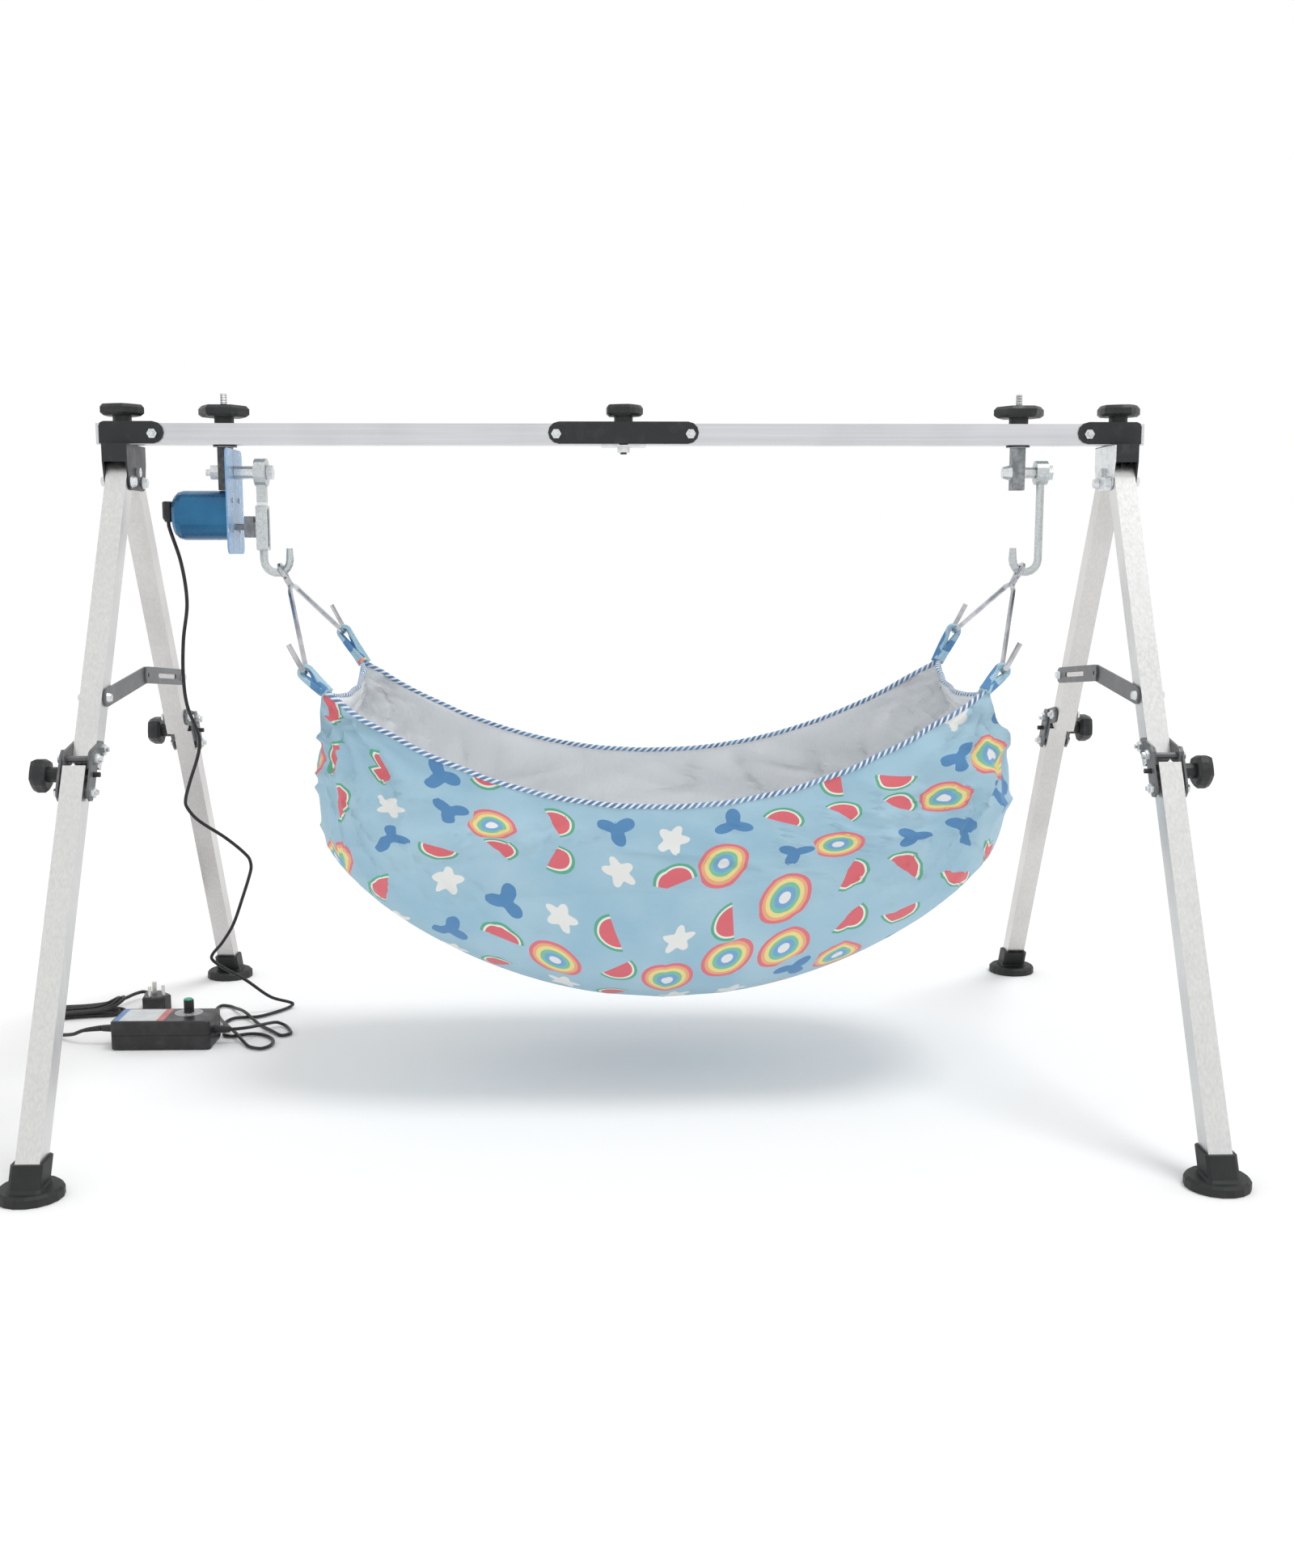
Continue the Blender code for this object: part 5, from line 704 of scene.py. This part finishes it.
def wrinkle(count, x, y, depth):
    """Gathers along the seam, folds that fan out of the corners, slack and creases in the wall."""
    fade = (1 - depth) ** 1.4
    loose = GATHER_LOOSE * noise.noise(Vector((x * 16, y * 16, 3.0)))
    gather = math.sin(count * GATHER_TURN + loose) * GATHER_DEEP * fade ** 4
    corner_x, corner_y = math.copysign(SLING_HALF, x), math.copysign(SLING_END_Y, y)
    along = math.hypot(x - corner_x, y - corner_y)
    down = depth * WALL_HIGH
    reach = math.hypot(along, down)
    loose = FOLD_LOOSE * noise.noise(Vector((x * 5, y * 5, 9.0)))
    fan = math.sin(FOLDS * math.atan2(down, along) + loose)
    fold = FOLD_DEEP * fan * math.exp(-reach / FOLD_REACH) * min(1, reach / FOLD_EASE)
    slack = noise.noise(Vector((x * 7, y * 7, depth * 4))) * SLACK_DEEP * min(1, depth * 4) * fade
    crease = 0
    for lean in (-CREASE_LEAN, CREASE_LEAN):
        across, run = x + lean * down, x - lean * down
        seed = math.copysign(5.0, lean) + (y > 0)
        ridge = 1 - abs(noise.noise(Vector((across * 13, run * 2.2, seed))))
        crease -= CREASE_DEEP * ridge ** CREASE_POWER * min(1, depth * 6) * (1 - depth) ** 0.7
    return gather + fold + slack + crease


def sling_ring(depth, inset):
    """One ring of the bowl, at its share of the way down, drawn in by inset."""
    along_share = (1 - depth ** END_POWER) ** (1 / END_POWER)
    across_share = (1 - depth ** SIDE_POWER) ** (1 / SIDE_POWER)
    blend = min(1, depth / ROUND_DEPTH_SHARE)
    blend = blend * blend * (3 - 2 * blend)
    ring = []
    for count, (x, y, angle) in enumerate(RIM_PLAN):
        round_x = SLING_HALF * power(math.cos(angle), 2 / PLAN_POWER)
        round_y = SLING_MID_Y * power(math.sin(angle), 2 / PLAN_POWER)
        tuck = inset + wrinkle(count, x, y, depth)
        reach_x = (x + (round_x - x) * blend) * (1 - tuck / SLING_HALF)
        reach_y = (y + (round_y - y) * blend) * (1 - tuck / SLING_MID_Y)
        end_share = abs(x) / SLING_HALF
        rim = RIM_Z + RIM_RISE * end_share ** RIM_POWER + RIM_LEAN * y / SLING_MID_Y
        rim -= END_DIP * end_share ** END_DIP_POWER * max(0, 1 - (y / SLING_END_Y) ** 2)
        local_x = reach_x * along_share * (1 + SLING_BULGE / SLING_HALF * blend)
        floor = SLING_BASE + FLOOR_RISE * (local_x / SLING_HALF) ** 2 + inset
        ring.append(Vector((SLING_MID + SLING_DRIFT * blend + local_x, reach_y * across_share,
                            rim + (floor - rim) * depth)))
    return ring


def even_depths():
    """Shares of the way down that leave rows of cloth about as tall as each other."""
    trial = [DEEPEST_SHARE * (1 - (1 - i / TRIAL_ROWS) ** 3) for i in range(TRIAL_ROWS + 1)]
    watched = (SIDE_STEPS // 2, SIDE_STEPS // 6, SIDE_STEPS + END_STEPS // 2)
    rings = [[sling_ring(depth, 0)[i] for i in watched] for depth in trial]
    run = [0.0]
    for upper, lower in zip(rings, rings[1:]):
        run.append(run[-1] + sum((a - b).length for a, b in zip(upper, lower)))
    depths = []
    for row in range(ROWS):
        goal = run[-1] * row / (ROWS - 1)
        k = max(i for i, value in enumerate(run[:-1]) if value <= goal)
        share = (goal - run[k]) / (run[k + 1] - run[k])
        depths.append(trial[k] + (trial[k + 1] - trial[k]) * min(1, share))
    return depths


def floor_ladder():
    """Four-sided faces that close the lowest ring, across from the front to the back."""
    far = 2 * SIDE_STEPS + END_STEPS
    quads = [(i, i + 1, far - i - 1, far - i) for i in range(SIDE_STEPS)]
    for first in (SIDE_STEPS, far):
        last = first + END_STEPS
        quads += [(first + i, first + i + 1, last - i - 1, last - i) for i in range(END_STEPS // 2)]
    return quads


def measured(ring):
    """How far each point lies along a ring in plan, from the front's and the back's middle."""
    run = [0.0]
    for a, b in zip(ring, ring[1:]):
        run.append(run[-1] + (b - a).xy.length)
    whole = run[-1] + (ring[0] - ring[-1]).xy.length
    middles = (SIDE_STEPS // 2, SIDE_STEPS + END_STEPS + SIDE_STEPS // 2)
    return [[(value - run[middle] + whole / 2) % whole - whole / 2 + BACK_PANEL_U * panel
             for value in run] for panel, middle in enumerate(middles)]


def sewn_bowl(name, outset, thickness, depths):
    """A closed thin bowl: rows down its outside and up its inside, the floors closed."""
    rings = [sling_ring(depth, outset) for depth in depths]
    rings += [sling_ring(depth, outset + thickness) for depth in reversed(depths)]
    count = len(RIM_PLAN)
    along = [measured(ring) for ring in rings]
    down = [[-point.z for point in rings[0]]]
    for upper, lower in zip(rings, rings[1:]):
        way = -1 if len(down) > len(depths) else 1
        step = 0 if len(down) == len(depths) else way
        down.append([v + step * (a - b).length for v, a, b in zip(down[-1], upper, lower)])
    verts = [point for ring in rings for point in ring]
    faces, maps = [], []
    for ring in range(len(rings)):
        if ring == len(depths) - 1:
            continue
        after = (ring + 1) % len(rings)
        for i in range(count):
            j = (i + 1) % count
            corners = ((ring, i), (ring, j), (after, j), (after, i))
            faces.append([r * count + k for r, k in corners])
            panel = 0 if i < SIDE_STEPS + END_STEPS // 2 or i >= count - END_STEPS // 2 else 1
            maps.append([(along[r][panel][k], down[r][k]) for r, k in corners])
    lowest = count * (len(depths) - 1)
    for start in (lowest, lowest + count):
        for quad in floor_ladder():
            face = [start + k % count for k in quad]
            face = face if start == lowest else face[::-1]
            faces.append(face)
            maps.append([(verts[k].x, FLOOR_PANEL_V + verts[k].y) for k in face])
    return new_piece(name, verts, faces, maps)


def printed_cotton():
    """Pale blue cotton strewn with ring discs, wedges, stars and petals, one in each cell."""
    finish = Finish("printed_cotton", (0.36, 0.60, 0.74), 0.85, Sheen_Weight=0.15,
                    Sheen_Roughness=0.5)
    flat = finish.place((1, 1, 0), uv=True)
    cells = {"voronoi_dimensions": "2D", "feature": "F1"}
    where = {"Vector": flat, "Scale": 1 / PRINT_CELL, "Randomness": 0.3}
    home = finish.add("TexVoronoi", where, "Position", **cells)
    dice = finish.add("SeparateColor", {"Color": finish.add("TexVoronoi", where, "Color", **cells)})
    pick, spin = dice.node.outputs["Red"], dice.node.outputs["Green"]
    x, y = finish.axes(finish.add("VectorMath", {0: flat, 1: home}, operation="SUBTRACT"))[:2]
    away = finish.radius(x, y)
    turn = finish.plus(finish.maths("ARCTAN2", y, x), finish.times(spin, 2 * math.pi))

    def lobed(size, share=0.0, lobes=1):
        wave = finish.maths("COSINE", finish.times(turn, lobes))
        return finish.below(away, finish.spread(wave, size * (1 - share), size, -1, 1))

    def banded(bands):
        """A colour that changes at each distance from the middle of the motif."""
        colour = bands[-1][1]
        for edge, inner in reversed(bands[:-1]):
            colour = finish.blend(finish.below(away, edge), colour, inner)
        return colour

    thread = finish.grain(1.0, (1900, 500, 1), 2.0, uv=True)
    wash = finish.grain(11, detail=4.0)
    colour = finish.tones(wash, 0.35, 0.7, (0.345, 0.565, 0.70), (0.435, 0.635, 0.75))
    disc = banded([(0.007, (0.86, 0.87, 0.85)), (0.0125, (0.20, 0.42, 0.72)),
                   (0.0175, (0.22, 0.58, 0.42)), (0.0225, (0.90, 0.76, 0.30)),
                   (0.0265, (0.88, 0.45, 0.26)), (1, (0.80, 0.20, 0.24))])
    wedge = banded([(0.020, (0.76, 0.16, 0.19)), (0.0225, (0.90, 0.90, 0.84)),
                    (1, (0.12, 0.45, 0.28))])
    half = finish.above(finish.maths("SINE", turn), 0.0)
    motifs = ((-1, 0.24, lobed(DISC_R), disc),
              (0.24, 0.50, finish.times(half, lobed(WEDGE_R)), wedge),
              (0.50, 0.78, lobed(STAR_R, 0.42, 5), (0.86, 0.87, 0.84)),
              (0.78, 2.0, lobed(PETAL_R, 0.62, 3), (0.10, 0.27, 0.52)))
    for low, high, shape, ink in motifs:
        colour = finish.blend(finish.times(finish.between(pick, low, high), shape), colour, ink)
    shade = finish.tones(thread, 0.3, 0.7, (0.93, 0.93, 0.93), (1.0, 1.0, 1.0))
    finish.feed(Base_Color=finish.shaded(colour, shade),
                Roughness=finish.spread(thread, 0.78, 0.92))
    return finish.bump(thread, depth=0.0002).material


def knitted_net():
    """White polyester net: hexagonal holes under two millimetres wide, over the cotton."""
    finish = Finish("knitted_net", (0.80, 0.84, 0.88), 0.7, Sheen_Weight=0.1)
    hole = finish.add("TexVoronoi", {"Vector": finish.place((1, 1, 0), uv=True), "Scale": 620.0,
                                     "Randomness": 0.12}, "Distance", voronoi_dimensions="2D")
    open_share = finish.spread(hole, 0.55, 0.0, 0.15, 0.55)
    colour = finish.blend(open_share, (0.95, 0.965, 0.98), (0.80, 0.86, 0.91))
    fill = finish.grain(14, detail=4.0)
    colour = finish.tones(fill, 0.45, 0.75, colour, (0.86, 0.90, 0.93), 0.35)
    finish.feed(Base_Color=colour, Roughness=finish.spread(hole, 0.62, 0.85, 0, 0.6))
    return finish.bump(finish.spread(hole, 1.0, 0.0, 0.1, 0.55), depth=0.0004).material


def striped_tape(name, pitch, lean):
    """Woven blue tape with white stripes that run slantwise round the roll."""
    finish = Finish(name, (0.30, 0.55, 0.72), 0.8, Sheen_Weight=0.15)
    u, v = finish.axes(finish.place(uv=True))[:2]
    slant = finish.plus(u, finish.times(v, lean))
    wave = finish.maths("SINE", finish.times(slant, 2 * math.pi / pitch))
    weave = finish.grain(1.0, (1500, 1500, 1), 2.0, uv=True)
    soil = finish.grain(40)
    blue = finish.tones(soil, 0.4, 0.7, (0.09, 0.20, 0.40), (0.16, 0.31, 0.52))
    white = finish.tones(soil, 0.4, 0.7, (0.86, 0.88, 0.88), (0.74, 0.79, 0.82))
    finish.feed(Base_Color=finish.tones(wave, 0.15, 0.35, blue, white),
                Roughness=finish.spread(weave, 0.7, 0.9))
    return finish.bump(weave, depth=0.0002).material


def corner_line(sign, end):
    """From a corner of the rim over the upturned wire and back to the same corner."""
    place = Matrix.Translation((WIRE_X[sign], 0, SWAY_Z)) @ Matrix.Rotation(WIRE_ROLL, 4, "X")
    place = place @ Matrix.Rotation(sign * WIRE_TILT, 4, "Y")
    seat = place @ Vector((0, end * WIRE_ARM_Y, -WIRE_BASE))
    up = (place.to_3x3() @ Vector((0, 0, 1))).normalized()
    side = (place.to_3x3() @ Vector((1, 0, 0))).normalized() * -sign
    first = CORNERS[sign, end]
    corner = rim_line[first]
    ends = [corner + (rim_line[(first + step) % len(rim_line)] - corner).normalized() * LOOP_SPREAD
            for step in (-3, 3)]
    start, stop = sorted(ends, key=lambda point: -abs(point.x - seat.x))
    reach = WIRE_R + LOOP_HOOK_R + LOOP_GAP
    turns = [math.pi * i / LOOP_TURN_STEPS for i in range(LOOP_TURN_STEPS + 1)]
    over = [seat + reach * (math.cos(turn) * side + math.sin(turn) * up) for turn in turns]
    return curved_through([start, *over, stop], LOOP_STEP)


depths = even_depths()
cotton = printed_cotton()
sling_outer = sewn_bowl("sling_outer", 0.0, CLOTH_THICK, depths)
sling_outer.data.materials.append(cotton)
sling_lining = sewn_bowl("sling_lining", CLOTH_THICK + LINING_GAP, NET_THICK, depths)
sling_lining.data.materials.append(knitted_net())

rim_line = sling_ring(0, CLOTH_THICK)
sling_piping = rolled("sling_piping", rim_line, [PIPING_R] * len(rim_line), closed=True)
sling_piping.data.materials.append(striped_tape("piping_tape", PIPING_PITCH, 1.0))

corner_loops = []
for sign, side in ((-1, "left"), (1, "right")):
    for end, row in ((-1, "front"), (1, "back")):
        line = corner_line(sign, end)
        shares = [abs(2 * i / (len(line) - 1) - 1) for i in range(len(line))]
        radii = [LOOP_HOOK_R + (LOOP_RIM_R - LOOP_HOOK_R) * max(0, share - LOOP_HOOK_SHARE)
                 / (1 - LOOP_HOOK_SHARE) for share in shares]
        loop = rolled(f"corner_loop_{row}_{side}", line, radii, sides=20,
                      folds=5, fold_share=0.2, twist=45)
        loop.data.materials.append(cotton)
        corner_loops.append(loop)

for piece in (sling_outer, sling_lining, sling_piping, *corner_loops):
    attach(piece, "sling")
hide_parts("sling_cloth")
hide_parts("sling_net")


# ---------------------------------------------------------------- speed control
# A black ABS case in two halves with a gland at each end. A plain label lies on
# its top, grey-white between a blue and a red band, and a grey ring with ticks
# surrounds the ribbed black knob with its green cap.
CASE_TOP, CAP_BASE = 0.0388, 0.0569
LABEL_X, LABEL_Y = (-0.6765, -0.6105), (0.0590, 0.1140)
BLUE_BAND_X, RED_BAND_X = -0.6690, -0.6200
DIAL_X, DIAL_Y, DIAL_RING_R, TICK_REACH, TICKS = -0.5865, 0.098, 0.0185, (0.0125, 0.0160), 12


def labelled_case():
    finish = Finish("labelled_case", (0.012, 0.012, 0.013), 0.38)
    x, y, z = finish.axes()
    top = finish.above(z, CASE_TOP)
    dust = finish.grain(60, detail=5.0)
    case = finish.tones(dust, 0.45, 0.8, DEEP_BLACK, (0.032, 0.032, 0.034))
    paper = finish.tones(dust, 0.4, 0.7, (0.62, 0.64, 0.65), (0.52, 0.54, 0.55))
    paper = finish.blend(finish.below(x, BLUE_BAND_X), paper, (0.06, 0.20, 0.48))
    paper = finish.blend(finish.above(x, RED_BAND_X), paper, (0.52, 0.10, 0.09))
    label = finish.times(finish.between(x, *LABEL_X), finish.between(y, *LABEL_Y))
    colour = finish.blend(finish.times(label, top), case, paper)
    from_x, from_y = finish.maths("SUBTRACT", x, DIAL_X), finish.maths("SUBTRACT", y, DIAL_Y)
    away = finish.radius(from_x, from_y)
    turn = finish.times(finish.maths("ARCTAN2", from_x, from_y), TICKS)
    tick = finish.above(finish.maths("COSINE", turn), 0.9)
    ring = finish.blend(finish.times(tick, finish.between(away, *TICK_REACH)), (0.36, 0.37, 0.38),
                        (0.03, 0.03, 0.03))
    on_ring = finish.times(finish.below(away, DIAL_RING_R), top)
    finish.feed(Base_Color=finish.blend(on_ring, colour, ring),
                Roughness=finish.spread(dust, 0.30, 0.52, 0.35, 0.75))
    return finish.bump(finish.grain(1100, detail=2.0), depth=0.0001).material


def capped_knob():
    """Black up to the rim, and a green cap pressed into the top."""
    finish = Finish("capped_knob", (0.012, 0.012, 0.013), 0.35)
    rub = finish.grain(190)
    black = finish.tones(rub, 0.45, 0.8, DEEP_BLACK, (0.035, 0.035, 0.036))
    green = finish.tones(rub, 0.4, 0.7, (0.015, 0.30, 0.17), (0.03, 0.38, 0.23))
    cap = finish.above(finish.axes()[2], CAP_BASE)
    return finish.feed(Base_Color=finish.blend(cap, black, green),
                       Roughness=finish.spread(rub, 0.25, 0.45)).material


dress(labelled_case(), "controller_box")
dress(capped_knob(), "controller_knob")


# ---------------------------------------------------------------- plugs
# Both plugs are moulded onto their leads in black PVC. The mains plug lies on its
# back with three bright plated pins up.
PLUG_FACE_Z = 0.0211


def moulded_plug(name, pins_above=None):
    finish = Finish(name, (0.012, 0.012, 0.013), 0.36)
    rub = finish.grain(120, detail=4.0)
    colour = finish.tones(rub, 0.45, 0.8, DEEP_BLACK, (0.034, 0.034, 0.036))
    if pins_above:
        pins = finish.above(finish.axes()[2], pins_above)
        colour = finish.blend(pins, colour, (0.78, 0.77, 0.73))
        finish.feed(Metallic=pins)
    finish.feed(Base_Color=colour, Roughness=finish.spread(rub, 0.28, 0.5))
    return finish.bump(finish.grain(1000), depth=0.0001).material


dress(moulded_plug("mains_plug_pvc", PLUG_FACE_Z), "mains_plug")
dress(moulded_plug("dc_plug_pvc"), "dc_plug")


# ---------------------------------------------------------------- floor and light
# A white floor that keeps the stand's soft shadow, an even white sky that metal
# and clear plastic also show, and one large soft lamp high above on the right.
FLOOR_WIDE, FLOOR_Z = 60, -0.0006
SUN_STRENGTH, SUN_WIDE = 1.0, math.radians(20)
SUN_TURN = (math.radians(5), math.radians(18), 0)
SKY_LEVEL, SEEN_LEVEL = 0.80, 1.0

bpy.ops.object.select_all(action="DESELECT")
bpy.ops.mesh.primitive_plane_add(size=FLOOR_WIDE, location=(0, 0, FLOOR_Z))
floor = bpy.context.object
floor.name = "studio_floor"
paper = Finish("studio_floor", (0.97, 0.97, 0.97), 0.9, Specular_IOR_Level=0.0)
floor.data.materials.append(paper.material)

sun_data = bpy.data.lights.new("soft_sun", "SUN")
sun_data.energy = SUN_STRENGTH
sun_data.angle = SUN_WIDE
sun = placed("soft_sun", sun_data)
sun.rotation_euler = SUN_TURN

world = bpy.data.worlds.new("white_studio")
world.use_nodes = True
bpy.context.scene.world = world
sky = world.node_tree
background = sky.nodes["Background"]
background.inputs["Color"].default_value = (1, 1, 1, 1)
path = sky.nodes.new("ShaderNodeLightPath")
seen = path.outputs["Is Camera Ray"]
for ray in ("Is Glossy Ray", "Is Transmission Ray"):
    either = sky.nodes.new("ShaderNodeMath")
    either.operation = "MAXIMUM"
    sky.links.new(seen, either.inputs[0])
    sky.links.new(path.outputs[ray], either.inputs[1])
    seen = either.outputs[0]
level = sky.nodes.new("ShaderNodeMapRange")
level.inputs["To Min"].default_value = SKY_LEVEL
level.inputs["To Max"].default_value = SEEN_LEVEL
sky.links.new(seen, level.inputs["Value"])
sky.links.new(level.outputs["Result"], background.inputs["Strength"])
